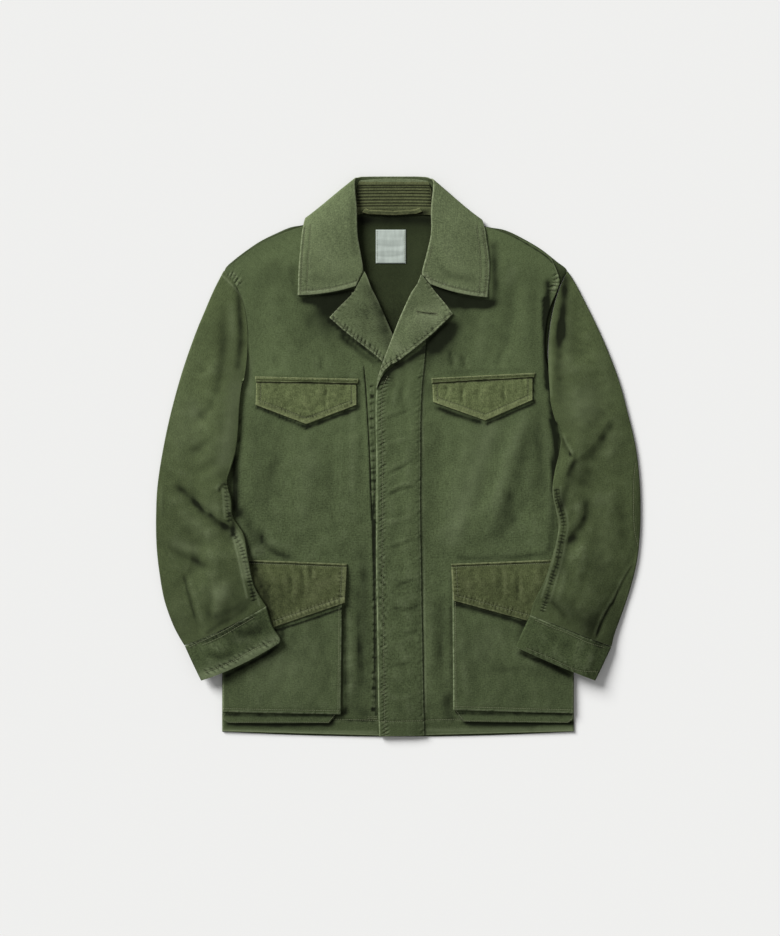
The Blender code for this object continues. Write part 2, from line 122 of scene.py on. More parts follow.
BACK = sections(2,
    (-246, -385, 246, -385, 0, -14), (-246, -257, 246, -257, 0, -8), (-245, -89, 245, -89), (-244, -19, 244, -19),
    (-240, 29, 240, 29), (-230, 65, 230, 65), (-215.6, 102, 215, 102), (-212.4, 141, 209.5, 141),
    (-212.5, 180, 212.2, 180), (-218.2, 211, 217.7, 210), (-226.6, 233.8, 224.6, 233), (-235, 248.5, 231, 248),
    (-242.5, 260.5, 236, 261), (-230, 274.5, 222, 273), (-196, 299, 198, 291.5), (-166, 314, 168, 308.5),
    (-150, 320.5, 148, 317), (-134, 323.5, 128, 320.5), (-112, 329, 104, 326.5), (-72, 346, 62, 345, 0, -8),
)
# The fly is a doubled strip sewn down the left front's free edge.
FLY = sections(2,
    (-26.2, -391, 37.4, -390), (-27.6, -346, 36.2, -346), (-28.6, -264, 34.8, -264), (-30.6, -150, 32.6, -150),
    (-30.2, -75, 31.6, -75), (-30.2, -5, 31.8, -5), (-31.3, 55, 32, 50), (-30.6, 86, 33.3, 82),
    (-27.4, 102, 34.6, 105), (-19, 115.5, 36.6, 124), (-6, 127, 38.5, 146), (12, 141, 40, 170),
)
# Lapels run from their lower end up to the gorge, where they meet the collar.
RIGHT_LAPEL = sections(2,
    (-20.5, 131.5, -6, 145), (-35.3, 144.6, -4, 157), (-54.7, 159.2, -7, 170), (-74.2, 174.7, -17, 193),
    (-96, 194, -28.5, 219), (-82, 209, -37, 235), (-67, 224, -41.5, 247), (-61, 230, -44, 253),
    (-57.8, 237, -46.5, 258),
)
LEFT_LAPEL = sections(2,
    (-30.8, 94, -29.6, 95.5), (-28.6, 108.6, -25.6, 110.6), (-24, 124, -18.8, 120.3), (-20.4, 134, -10.1, 128.1),
    (-14.5, 149.5, 0.7, 133), (-7.1, 169, 27, 153.5), (1.7, 192, 50.5, 173), (9.5, 210, 77, 199),
    (18, 228, 66, 213.5), (27, 241, 50.5, 231.5), (32, 254, 43.5, 240.5),
)
# The collar's leaf runs from the right notch, up the side of the neck, round the back and down to the left
# notch. Edge a is its outer edge and edge b the roll line. It turns under the shoulders at the fold sections.
COLLAR_LEAF = sections(3,
    (-140, 225, 8.2, -58.5, 238.2, 9.6, 4, -6, 2), (-139.5, 240, 8, -53.4, 249.6, 10.2, 0, 0, 2.5),
    (-139, 255, 8.7, -48.8, 261, 11, 0, 0, 3), (-138, 272, 9.1, -52, 283, 12.4, 0, 0, 3.5),
    (-136, 294, 8.9, -56.5, 310, 13.2, 0, 0, 4), (-133.5, 316, 8.2, -57.5, 345, 13.2, 0, 0, 3),
    (-129, 332, 4.6, -60, 383, 11, 0, -1, 1), (-120, 326, 1.7, -53, 389.5, 9, 0, 10, -2.5),
    (-97, 314, 1.7, -41, 390.6, 7.6, 0, 22, -3.2), (-55, 302, 1.7, -26, 391, 7, 0, 24, -3.5),
    (-6, 300, 1.7, -6, 391, 7, 0, 24, -3.5), (43, 302, 1.7, 15, 391, 7, 0, 24, -3.5),
    (83, 313, 1.7, 31, 390.6, 7.6, 0, 22, -3.2), (106, 324, 1.7, 42, 388.5, 9, 0, 9, -2.5),
    (116.5, 330, 4.6, 49, 381.5, 11, 0, -2.5, 1), (121.8, 315, 8.2, 46, 345, 13.2, 0, 0, 3),
    (124.6, 297, 8.9, 46, 312, 13.2, 0, 0, 4), (127.5, 276, 9.1, 40, 283, 12.4, 0, 0, 3.5),
    (128, 257, 8.7, 33.5, 256.5, 11, 0, 0, 3), (126.5, 239, 8, 38.5, 248.5, 10.2, 0, 0, 2.5),
    (125, 222, 8.2, 45, 241, 9.6, -4, -6, 2),
)
# The stand runs from right to left round the neck, from the neck seam (a) up to the roll line (b).
COLLAR_STAND = sections(3,
    (-62, 300, 5.6, -59, 298, 10.2), (-63.5, 324, 5.6, -59, 326, 10.4), (-58, 337, 5.8, -56, 379, 8.8, 0, 0, -0.8),
    (-40, 339, 5.8, -43, 386, 8.4, 0, 0, -1), (-6, 337.5, 5.8, -6, 388, 8.4, 0, 0, -1),
    (29, 338, 5.8, 32, 386, 8.4, 0, 0, -1), (49, 336, 5.8, 44.5, 377, 8.8, 0, 0, -0.8), (53, 324, 5.6, 48, 324, 10.4),
    (50, 298, 5.6, 47.5, 296, 10.2),
)
# Across a chest flap, from its left end to its right one: a is the sewn edge and b the free, pointed one.
RIGHT_CHEST_FLAP = sections(2, (-198, 104, -199, 72), (-128, 102.5, -128, 45), (-58, 101, -58, 72))
LEFT_CHEST_FLAP = sections(2, (48, 102, 49, 76), (122, 106, 122, 50), (188, 110, 188, 79))
RIGHT_CHEST_WELT = sections(2, (-200, 112, -199, 104.5), (-55, 108.5, -56, 101.5))
LEFT_CHEST_WELT = sections(2, (47, 109.5, 47, 102.5), (192, 117, 190, 110.5))
# Bellows pockets. The gusset is the folded strip under the face, round its two sides and foot.
RIGHT_GUSSET = sections(2,
    (-86, -192, -112, -192), (-86, -361, -112, -343), (-96, -373, -116, -349), (-238, -373, -218, -349),
    (-245, -368, -221, -343), (-245, -192, -221, -192),
)
LEFT_GUSSET = sections(2,
    (245, -192, 221, -192), (245, -368, 221, -343), (238, -373, 218, -349), (91, -371, 111, -347),
    (80, -357, 106, -341), (80, -192, 106, -192),
)
RIGHT_POCKET = sections(2, (-245, -357, -80, -360), (-245, -182, -78, -184))
LEFT_POCKET = sections(2, (77, -354, 245, -359), (76, -184, 245, -182))
RIGHT_POCKET_FLAP = sections(2, (-242, -143, -242, -262), (-71, -150, -74, -204))
LEFT_POCKET_FLAP = sections(2, (74, -150, 77, -201), (242, -143, 242, -246))
HANGER_LOOP = sections(2,
    (-46, 347, -50, 341), (-40, 344.5, -42, 338.5), (-6, 343, -6, 337), (24, 345, 26, 339), (30, 347.5, 34, 342),
)
LABEL = sections(2, (-31, 317, -31, 270), (11, 317, 11, 270))

# Sleeves run from the armhole to the cuff seam. Edge a is the outer edge of the flattened tube, b the inner.
RIGHT_SLEEVE = sections(2,
    (-243.9, 259.4, -217.5, 104, 31.5, 32.5), (-257.5, 233, -220.5, 82, 16, 18), (-270, 204, -222.3, 58, 7, 9),
    (-284, 170, -223.3, 35, 3, 3), (-302, 118, -226.3, 8), (-318, 60, -233.5, -18), (-329, 8, -238.2, -36),
    (-336.5, -42, -232.6, -60), (-338.5, -88, -230.2, -84), (-337.5, -128, -215.5, -108), (-333.5, -164, -210, -134),
    (-327, -200, -204.5, -164), (-316, -232, -199.5, -182, 0, -2), (-306.5, -251, -190.5, -197, 0, -4),
    (-298.3, -264, -183.6, -208, 0, -6),
)
LEFT_SLEEVE = sections(2,
    (237.5, 259, 210.5, 112, -17.5, 19.5), (248.7, 241, 211.9, 91, -10, 12), (263.6, 212, 212.8, 77, -5, 7),
    (279.8, 179, 216, 62, -2, 2), (295.5, 143, 221, 46.5), (310.2, 102.5, 227.8, 33.5), (321.6, 60, 227.4, 21),
    (332, 16, 224.2, 2), (337.5, -27, 218, -25), (339.3, -68, 215.6, -50), (338.5, -107, 221, -79),
    (334.5, -145, 223.5, -104), (326, -181, 216, -134), (314.5, -216, 204.8, -171), (303, -247, 189.8, -201),
    (298.3, -265.5, 184, -220.5),
)
RIGHT_CUFF = sections(2,
    (-298, -264.55, -183.3, -208.55, 0, -6), (-286, -290, -174.5, -236, 0, -6), (-277, -308, -164, -253, 0, -7),
    (-274.5, -312.5, -165, -259.5, 0, -8),
)
LEFT_CUFF = sections(2,
    (298.1, -265.9, 183.8, -220.9), (286.5, -290, 174.5, -241), (277.5, -308, 166, -259.5, 0, -1),
    (275, -312.5, 164.5, -265.5, 0, -2),
)

# The largest folds: x and y where one starts and ends, its half width and its height, below zero for a trough.
BODY_FOLDS = [
    (-192, 30, -198, -100, 20, -1.1), (-198, -92, -130, -140, 18, -1), (-58, -200, -60, -330, 18, 0.9),
    (-150, 230, -118, 140, 22, -1), (-75, 120, -95, -60, 24, 0.8), (60, -110, 190, -20, 20, 0.9),
    (80, -140, 200, -60, 20, -1), (132, 160, 178, 255, 20, -1), (196, 60, 200, -90, 18, -1),
    (58, -200, 57, -330, 18, 0.9),
]
RIGHT_SLEEVE_FOLDS = [
    (-318, -30, -222, -112, 13, -2), (-312, -62, -232, -128, 13, 0.9), (-300, 10, -232, -58, 15, 0.8),
    (-252, 108, -280, 52, 14, -1.4), (-262, 200, -246, 110, 13, 0.9), (-326, -120, -246, -146, 16, -1.4),
    (-300, -176, -278, -243, 9, -1.1),
]
LEFT_SLEEVE_FOLDS = [
    (234, 20, 246, 0, 9, -1.2), (252, 4, 292, 60, 16, -1.4), (262, -32, 252, -104, 14, -2),
    (280, 20, 300, -90, 18, 0.9), (250, -112, 228, -140, 10, -1.5), (246, 190, 262, 90, 13, -1.4),
    (328, -150, 272, -254, 9, -1.6),
]

# A path is x and y of each of its points in turn. A crease runs along one: its height is below zero for a trough.
# lean puts its opposite beside it, on the path's left. sharp goes from 0, round, to 1, pressed. taper is the share
# of its length over which it dies away. A step is high on the path's left and drops to its right over about as many
# millimetres, as where one fold lies over the next.
Crease = namedtuple("Crease", "path half_width height lean sharp taper step", defaults=(0, 0, 0.35, 0))

# A seam is a row of stitches: where is a path, or ("a", "b", "start" or "stop", inset, from, to) along an edge.
# groove is how deep the row pulls the cloth in. Beside it the cloth puckers: pucker is the puckers' height, wave
# their length along the row, reach how far they go and slant how far they lean. lift raises the cloth on the row's
# right, and a seam without thread shows no stitches.
Seam = namedtuple("Seam", "where groove pucker wave reach slant lift thread", defaults=(0, 0.25, True))

# Streaks of painted light: half width, strength and then a path, given as a seam's is. Above zero they are painted
# shade, where the cloth is hollow, touches the next piece or lies in another's shadow; below zero painted highlight
# and wear.

BODY_CREASES = [
    ([-200, -94, -185, -124, -161, -139, -130, -146], 8, -1.1, 0.7, 0.3),
    ([-182, 51, -176, -19, -190, -89], 16, -0.9, 0.4), ([-137, 44, -129, -33, -137, -124], 14, 0.6, 0.5),
    ([-88, 51, -95, -33, -84, -131], 12, -0.5, 0.4), ([-67, 149, -63, 51, -64, -89], 9, 0.5, 0.6),
    ([-151, 272, -190, 240, -202, 177, -190, 118], 15, -1, 0.5), ([-112, 219, -129, 170, -137, 118], 13, -0.7, 0.4),
    ([-64, 156, -73, 107, -67, 23], 8, -0.5, 0.4), ([-214, -145, -190, -128, -171, -111], 9, 0.6, 0.3),
    ([189, 90, 147, -33, 126, -125], 12, 1, 0.8), ([164, 76, 140, 23, 115, -47, 95, -124], 13, -0.8, 0.5),
    ([196, 79, 197, 23, 206, -117], 10, -0.9, 0.4), ([109, 65, 90, -5, 70, -103], 12, 0.6, 0.6),
    ([59, 65, 45, -138], 9, -0.6, 0.5), ([171, 264, 160, 219, 150, 163, 154, 118], 14, -0.9, 0.6),
    ([199, 272, 192, 219, 195, 156, 199, 100], 9, -1.2, 0.9), ([125, 212, 118, 170, 112, 121], 12, 0.6, 0.5),
    ([71, 156, 76, 118], 5, -0.6, 0.5), ([-64, -215, -67, -285, -63, -362], 8, 0.6, 0.4),
    ([-53, -145, -56, -229, -50, -327], 7, -0.6, 0.3), ([56, -145, 60, -229, 53, -341], 9, -0.7, 0.5),
    ([42, -159, 45, -257, 41, -362], 6, 0.5, 0.4), ([150, 156, 140, 135, 139, 118], 6, -0.5, 0.3),
    ([90, 146, 91, 118], 5, -0.5, 0.3), ([-174, 149, -169, 117], 6, -0.5, 0.3),
    ([-106, 146, -109, 114], 5, -0.4, 0.3),
]
FLY_CREASES = [
    ([-25, 48, 25, 68], 3, -0.3, 0.6, 0.4), ([-27, 15, 25, 29], 4, 0.3, 0.5, 0.3),
    ([-21, -27.5, 3, -16, 28, -2], 2.6, -0.5, 0.8, 0.6),
    ([-17, -56.5, -5.5, -49.5, 8.5, -44, 28, -41.5], 2.6, -0.8, 0.9, 0.7, 0.3),
    ([-27, -92, 1, -89, 28, -78], 4, 0.3, 0.5, 0.2), ([-19.5, -129.5, 10, -121, 28, -112.5], 2.6, -0.5, 0.8, 0.6),
    ([-4, -180, 28, -170], 2.6, -0.5, 0.8, 0.6),
    ([-14, -209.5, 10, -213.5, 26.5, -208, 31, -202.5], 2.4, -0.6, 0.8, 0.7),
    ([3, -250, 19.5, -245.5, 32, -240], 2.6, -0.6, 0.8, 0.7), ([-22, -296, 6, -290, 28, -284], 3, -0.3, 0.6, 0.4),
    ([-22, -332, 6, -337, 31, -327], 4, 0.3, 0.5, 0.2), ([-1, 118, -11, 96, -17, 65], 6, -0.7, 0.8, 0.4),
    ([14, 128, -3, 72], 7, -0.5, 0.5, 0.2),
]
# Seen from above, on the sleeves' upper sides
RIGHT_SLEEVE_CREASES = [
    ([-319, -37, -302, -47, -273, -72], 9, -0.6, 0.4, 0.2),
    ([-288, -54, -269, -76, -260, -80, -251, -88, -242, -93, -228, -104], 11, 1, 0, 0.1, 0.22, 7),
    ([-311, -69, -283, -97, -246, -125], 10, 0.9, 0, 0),
    ([-336, -120, -298, -138, -270, -149, -238, -156], 9, -0.6, 0.9, 0),
    ([-304, -153.5, -299.5, -167.5, -287, -212, -278.5, -240], 2, -0.6, -0.8, 0.7, 0.3),
    ([-253, -51, -248, -43, -239, -34], 5, 0.8, 0, 0.3, 0.3, 2),
    ([-245, 228, -244, 153, -246, 116, -259, 68], 9, -1.3, 0.5, 0.2),
    ([-235, 223, -231, 177, -232, 121], 8, 0.8, 0, 0), ([-223, 225, -221, 194, -218, 163], 6, -0.6, 0, 0),
    ([-259, 146, -269, 130, -280, 110], 8, -0.5, 0.4), ([-253, 82, -270, 62, -288, 51], 8, -0.35, 0.5),
    ([-253, 34, -274, 15, -301, -1], 9, -0.55, 0.5), ([-241, 1, -266, -13, -291, -22], 9, -0.5, 0.5),
    ([-283, 216, -291, 149, -311, 65], 13, 0.5, 0.4), ([-329, -33, -330, -61, -329, -89], 3, 0.8, 0, 0.5),
    ([-232, -159, -246, -201, -258, -232], 8, 0.7, 0.4), ([-259, -212, -238, -205, -207, -191], 9, -0.45, 0.5),
    ([-319, -187, -305, -229, -291, -257], 9, 0.5, 0.3), ([-258, -166, -263, -201, -265, -240], 7, -0.6, 0.4),
]
LEFT_SLEEVE_CREASES = [
    ([228, 34, 235, 16, 245, -2], 6, 1.2, 0, 0.3, 0.25, 1.7), ([231, -33, 237, -16, 248, 2], 8, 0.6, 0, 0.1, 0.25, 4),
    ([244, -9, 270, 15, 284, 34, 297, 58], 14, 0.95, 0, 0, 0.2, 9), ([314, 54, 283, -19], 13, 0.7, 0, 0),
    ([269, -8, 252, -50], 12, -0.6, 0, 0),
    ([230, -125, 235, -114, 255, -89, 259, -72, 256, -57], 12, 0.95, 0, 0.1, 0.2, 8),
    ([230, 225, 225, 170, 223, 118, 227, 79], 8, -1, -0.6, 0.2), ([238, 219, 235, 93], 9, 0.7, 0, 0),
    ([251, 233, 255, 177, 269, 107], 12, -0.7, 0.5),
    ([272, -258, 283, -229, 294, -209, 300, -201, 314, -173, 325, -155, 335, -146], 4, 0.55, 0, 0.3, 0.12, 1.1),
    ([283, -61, 288, -117, 277, -187], 13, 0.7, 0.3), ([266, -145, 241, -222], 9, -0.7, 0.4),
    ([235, -145, 227, -180, 216, -215], 6, 0.6, 0.3), ([314, -33, 314, -89, 319, -145], 9, -0.8, 0.5),
    ([277, 158, 305, 79], 12, 0.5, 0.3), ([207, -198, 221, -209, 238, -232], 5, -0.4, 0.3, 0.2),
]
CUFF_CREASES = [
    ([-269, -271, -246, -279, -221, -274], 7, -0.6, 0.6), ([-238, -246, -217, -257, -190, -257], 7, 0.5, 0.5),
    ([-283, -278, -272, -290, -269, -304], 5, -0.4, 0.3), ([206, -243, 221, -257, 244, -262], 8, -0.35, 0.5),
    ([269, -265, 267, -282, 263, -302], 6, 0.5, 0.6), ([235, -248, 241, -268, 235, -285], 7, -0.2, 0.3),
]
POCKET_CREASES = [
    ([-190, -204, -151, -257, -84, -341], 14, -0.6, 0.5), ([-227, -257, -179, -285, -137, -290], 14, 0.5, 0.5),
    ([-109, -215, -101, -285, -109, -349], 10, -0.5, 0.4), ([101, -215, 123, -271, 171, -327], 14, -0.6, 0.5),
    ([143, -257, 185, -279, 227, -288], 14, 0.5, 0.5), ([92, -229, 90, -285, 98, -346], 8, 0.5, 0.4),
]
FLAP_CREASES = [
    ([-99.5, 100, -102, 79, -102, 62.5], 2.4, -0.9, 0.8, 0.7), ([-160, 99, -164, 74], 5, -0.4, 0.6, 0.3),
    ([-132, 99, -130, 65], 6, 0.4, 0.5, 0.2), ([-182, 102, -182, 90], 3, -0.5, 0.5, 0.5),
    ([-76, 99, -80, 76], 4, -0.4, 0.5, 0.4), ([91, 101.5, 88, 84.5, 89.5, 68], 2.6, -0.8, 0.8, 0.7),
    ([148.5, 103, 147, 90.5, 148.5, 73.5], 2.4, -1, 0.8, 0.7), ([118, 102, 120, 65], 6, 0.4, 0.5, 0.2),
    ([66, 102, 67, 82], 4, -0.4, 0.5, 0.4), ([141, -152, 143, -180, 140, -209], 4, -1.1, 0.7, 0.6),
    ([165, -153, 167, -178, 165, -209], 3, -0.9, 0.7, 0.7), ([104, -162, 106, -190], 5, -0.5, 0.5, 0.4),
    ([122, -166, 123, -198], 6, 0.4, 0.5, 0.2), ([-190, -156, -182, -187, -190, -218], 6, -0.6, 0.5, 0.3),
    ([-134, -153, -133, -178, -134, -204], 3, -0.9, 0.6, 0.6), ([-150, -160, -150, -201], 4, -0.5, 0.6, 0.4),
    ([-122, -152, -122, -174.5], 2.6, -0.9, 0.6, 0.7), ([-95, -159, -92, -184], 5, -0.4, 0.5, 0.3),
]
COLLAR_CREASES = [
    ([-115, 310, -95, 272, -67, 247], 12, 0.5, 0.5), ([-81, 338, -73, 289, -64, 258], 9, -0.5, 0.4),
    ([-123, 253, -95, 243, -67, 247], 6, -0.5, 0.5), ([60, 317, 76, 278, 101, 253], 12, 0.5, 0.5),
    ([53, 272, 70, 253, 98, 246, 123, 247], 7, -0.6, 0.6), ([101, 328, 112, 289, 115, 247], 9, -0.4, 0.4),
]
# On the right front: the placket's opening, which closes lower down, and the stitched band beside it
PLACKET_LINE = [-48, 126.5, -46, 107, -44, 82, -41.5, 37, -39, -9, -38, -49.5, -35.5, -103, -33.5, -201]
PLACKET_BAND = [-36.5, 101.5, -36.5, 37, -34.5, -12, -33.5, -49.5, -33, -145, -33, -257, -35, -360.5]
LAPEL_CREASES = [
    ([-64, 219, -45, 188, -36, 155], 8, -0.5, 0.4), ([-45, 233, -31, 202, -20, 163], 7, 0.5, 0.4),
    ([28, 236, 17, 202, 3, 163], 8, -0.4, 0.4), ([48, 219, 38, 183, 14, 155], 9, 0.5, 0.4),
]


def smooth(t):
    """0 below zero, 1 above one, and an even slope between."""
    t = np.clip(t, 0, 1)
    return t * t * (3 - 2 * t)


def lookup(table, at):
    """The value at a place in a short table of (place, value) rows, straight between them."""
    places, values = zip(*table)
    return np.interp(at, places, values)


def rumple(x, y, size, seed):
    """Soft hills and hollows from about -1 to 1, a size apart."""
    turn = np.random.default_rng(seed).uniform(0, 2 * math.pi, (128, 128))
    x, y = np.asarray(x, float) / size + 40, np.asarray(y, float) / size + 40
    column, row = np.floor(x).astype(int), np.floor(y).astype(int)
    x, y = x - column, y - row

    def slope_from(i, j):
        angle = turn[(column + i) % 128, (row + j) % 128]
        return np.cos(angle) * (x - i) + np.sin(angle) * (y - j)

    across, up = (t**3 * (t * (6 * t - 15) + 10) for t in (x, y))
    low = slope_from(0, 0) * (1 - across) + slope_from(1, 0) * across
    high = slope_from(0, 1) * (1 - across) + slope_from(1, 1) * across
    return 1.6 * (low * (1 - up) + high * up)


def curve_through(points, steps=6):
    """An even curve through a few points."""
    points = np.reshape(points, (-1, 2)).astype(float)
    if len(points) < 3:
        return points
    return sections_at(points, np.linspace(0, 1, steps * (len(points) - 1) + 1), True)


def along(path, x, y):
    """For points in plan: how far along the path each one is, how far off it, to its left, and its length."""
    nearest, run, side = np.full(x.shape, 1e9), np.zeros(x.shape), np.zeros(x.shape)
    length = 0.0
    for (x0, y0), (x1, y1) in zip(path, path[1:]):
        step_x, step_y = x1 - x0, y1 - y0
        step = math.hypot(step_x, step_y)
        if step == 0:
            continue
        t = np.clip(((x - x0) * step_x + (y - y0) * step_y) / step**2, 0, 1)
        off_x, off_y = x - x0 - t * step_x, y - y0 - t * step_y
        off = np.hypot(off_x, off_y)
        nearer = off < nearest
        nearest = np.where(nearer, off, nearest)
        run = np.where(nearer, length + t * step, run)
        side = np.where(nearer, np.sign(step_x * off_y - step_y * off_x), side)
        length += step
    return run, nearest * side, length


def near(path, x, y, reach):
    """Which points lie within reach of a path's box."""
    low, high = np.min(path, axis=0) - reach, np.max(path, axis=0) + reach
    return (x > low[0]) & (x < high[0]) & (y > low[1]) & (y < high[1])


def reaching(creases, x, y):
    """Each crease that reaches the points, with which it reaches, how far off its path they are and how strong it
    is there."""
    for row in creases:
        crease = Crease(*row)
        path = curve_through(crease.path)
        spot = near(path, x, y, 4 * crease.half_width)
        if spot.any():
            run, off, length = along(path, x[spot], y[spot])
            ends = crease.taper * length
            yield crease, spot, off, smooth(run / ends) * smooth((length - run) / ends)


def bell(t, sharp):
    """Across a crease, whose half width is 1: from 1 on its path down to 0, round or pressed."""
    return np.exp(-((t * t + 0.02) ** (1 - 0.45 * sharp)))


def crease_height(creases, x, y):
    total = np.zeros(np.shape(x))
    for crease, spot, off, fade in reaching(creases, x, y):
        t = off / crease.half_width
        shape = bell(t, crease.sharp)
        if crease.step:
            shape = shape * (0.12 + 0.88 * np.tanh(off / crease.step))
        else:
            shape = shape - 0.55 * crease.lean * bell(t - 1.7, crease.sharp)
        total[spot] += crease.height * fade * shape
    return total


def crease_shade_and_highlight(creases, x, y):
    """Painted light on creases: wear and painted highlight on their crests, painted shade in their hollows."""
    wear_and_highlight, dark = np.zeros(np.shape(x)), np.zeros(np.shape(x))
    for crease, spot, off, fade in reaching(creases, x, y):
        strength = abs(crease.height) * fade
        if crease.step:
            # A step: painted shadow on its low side, a dark line at its foot and a painted highlight on its high
            # edge.
            low_side = np.exp(-(((off / crease.half_width + 0.45) / 0.55) ** 2)) * (off < 0)
            line = min(1, 1.3 / crease.step)
            dark[spot] += strength * (0.30 * low_side + 0.36 * line * np.exp(-(((off + 1.0) / 1.6) ** 2)))
            wear_and_highlight[spot] += strength * 0.28 * line * np.exp(-(((off - 1.3) / 1.5) ** 2))
        else:
            marks, share = (dark, 0.2) if crease.height < 0 else (wear_and_highlight, 0.12)
            marks[spot] += share * strength * bell(off / crease.half_width, crease.sharp)
    return wear_and_highlight, dark


def fold_height(folds, x, y):
    """The largest folds' heights. A fold dies away across its width and towards its ends."""
    total = np.zeros(np.shape(x))
    for x0, y0, x1, y1, half_width, height in folds:
        run_x, run_y = x1 - x0, y1 - y0
        length = math.hypot(run_x, run_y)
        share = ((x - x0) * run_x + (y - y0) * run_y) / length**2
        off = ((x - x0) * run_y - (y - y0) * run_x) / length
        fade = smooth((share + 0.3) / 0.45) * smooth((1.3 - share) / 0.45)
        total += height * fade * np.exp(-((off / half_width) ** 2))
    return total


def sections_at(table, v, curved):
    """Sections at places v, from 0 at the table's first row to 1 at its last."""
    rows = np.asarray(table, float)
    place = v * (len(rows) - 1)
    i = np.minimum(place.astype(int), len(rows) - 2)
    t = (place - i)[:, None]
    p1, p2 = rows[i], rows[i + 1]
    if not curved:
        return p1 + (p2 - p1) * t
    p0, p3 = rows[np.maximum(i - 1, 0)], rows[np.minimum(i + 2, len(rows) - 1)]
    bend = (2 * p0 - 5 * p1 + 4 * p2 - p3) * t * t + (3 * p1 - p0 - 3 * p2 + p3) * t**3
    return 0.5 * (2 * p1 + (p2 - p0) * t + bend)


def points_at(table, u, v, curved):
    """Points at u from edge a to edge b of the sections at v, two or three numbers each."""
    u = u[:, None]
    a, b, bend = np.split(sections_at(table, v, curved), 3, axis=1)
    return a + (b - a) * u + 2 * u * (1 - u) * bend


# Heights of the undersides, as in the solids, with the creases added


def back_under(x, y):
    """The back's neck lies on the turned-down collar."""
    return COLLAR_LIFT * smooth((y - 180) / 115) * smooth((245 - abs(x + 8)) / 110)


def drape(x, y):
    """How the fronts' cloth rises and sinks between its seams."""
    folds = fold_height(BODY_FOLDS, x, y) + BODY_RELIEF * crease_height(BODY_CREASES, x, y)
    return folds + 1.0 * rumple(x, y * 0.6, 46, 3) + 0.5 * rumple(x, y * 0.8, 17, 4)


def air_under_fronts(x, y):
    side = lookup(BODY_HALF_WIDTH, y) - abs(x)
    shoulder = lookup(SHOULDER_LINE, abs(x)) - y
    inside = smooth(side / 55) * smooth((y - HEM_Y) / 50) * smooth(shoulder / 50)
    return np.clip((AIR + 0.5 + drape(x, y)) * inside, 0, 5.2)


def right_front_under(x, y):
    return FRONTS_LIFT * back_under(x, y) + CLOTH + SEAM_GAP + air_under_fronts(x, y)


def left_front_under(x, y):
    over_right_front = (CLOTH + LAYER_GAP) * (1 - smooth((x - UNDERLAP_X - 2) / 34))
    over_right_lapel = (CLOTH + LAYER_GAP) * np.exp(-(((x + 12) ** 2 + (y - 150) ** 2) / 50**2))
    return right_front_under(x, y) + over_right_front + over_right_lapel


def on_right_front(x, y):
    return right_front_under(x, y) + CLOTH + LAYER_GAP


def on_left_front(x, y):
    return left_front_under(x, y) + CLOTH + LAYER_GAP


def fly_under(x, y):
    return on_left_front(x, y) + creased(FLY_CREASES, x, y)


def right_lapel_under(x, y):
    roll = np.maximum(0.0, -14 - x) - 0.38 * (y - 146)
    stand_off = LAPEL_ROLL * smooth((y - 170) / 80) * (1 - smooth(roll / 30))
    return on_right_front(x, y) + stand_off + creased(LAPEL_CREASES, x, y)


def left_lapel_under(x, y):
    over_fly = (CLOTH + LAYER_GAP) * (1 - smooth((y - 186) / 24))
    roll = x + 14 - 0.43 * (y - 132)
    stand_off = LAPEL_ROLL * smooth((y - 190) / 60) * (1 - smooth(roll / 30))
    return on_left_front(x, y) + over_fly + stand_off + creased(LAPEL_CREASES, x, y)


def creased(creases, x, y, lowest=-0.5):
    """A small piece's creases, which don't sink into what it lies on."""
    return np.maximum(lowest, PIECE_RELIEF * crease_height(creases, x, y))


def fronts_by_side(x, y):
    return np.where(x < 0, on_right_front(x, y), on_left_front(x, y))


def chest_flap_under(x, y):
    return fronts_by_side(x, y) + creased(FLAP_CREASES, x, y)


def pocket_face_under(x, y):
    return fronts_by_side(x, y) + GUSSET_CLOTH + LAYER_GAP + creased(POCKET_CREASES, x, y, -0.7)


def pocket_flap_under(x, y):
    over_pocket = (GUSSET_CLOTH + CLOTH + 2 * LAYER_GAP) * smooth((-146 - y) / 32)
    return fronts_by_side(x, y) + over_pocket + creased(FLAP_CREASES, x, y)


def label_under(x, y):
    return back_under(x, y) + CLOTH + SEAM_GAP + 0.25 + 0.25 * rumple(x * 0.25, y, 9, 8)


def hanger_under(x, y):
    over_stand = GUSSET_CLOTH + 2 * SEAM_GAP
    return back_under(x, y) + CLOTH + LAYER_GAP + over_stand * smooth((y - 331) / 7)


def sleeve_under(x, y):
    """The floor outside the body, and the fronts and pockets inside it, with a slope between."""
    on_body = BODY_RISE * smooth((162 - y) / 50)
    on_pocket = POCKET_RISE * smooth((-112 - y) / 30)
    slope = 40 + 34 * smooth((-140 - y) / 80)
    return 0.05 + (on_body + on_pocket) * (1 - smooth((abs(x) - SIDE_X - 3) / slope))


# Seams


def edge_path(table, where, curved):
    """The path in plan of a row that keeps its distance from one of a piece's edges."""
    side, inset, first, last = where
    steps = np.linspace(first, last, EDGE_POINTS)
    if side in ("a", "b"):
        ends = [points_at(table, np.full(EDGE_POINTS, u), steps, curved) for u in (0.0, 1.0)]
        u = inset / np.linalg.norm(ends[1] - ends[0], axis=1)
        return points_at(table, u if side == "a" else 1 - u, steps, curved)[:, :2]
    places = (0.0, 0.02) if side == "start" else (1.0, 0.98)
    edge, inward = (points_at(table, steps, np.full(EDGE_POINTS, place), curved) for place in places)
    way = inward - edge
    # keep the distance square to the edge
    tangent = np.gradient(edge[:, :2], axis=0)
    tangent /= np.linalg.norm(tangent, axis=1)[:, None]
    square = abs(way[:, 0] * tangent[:, 1] - way[:, 1] * tangent[:, 0])
    return (edge + way * (inset / square)[:, None])[:, :2]


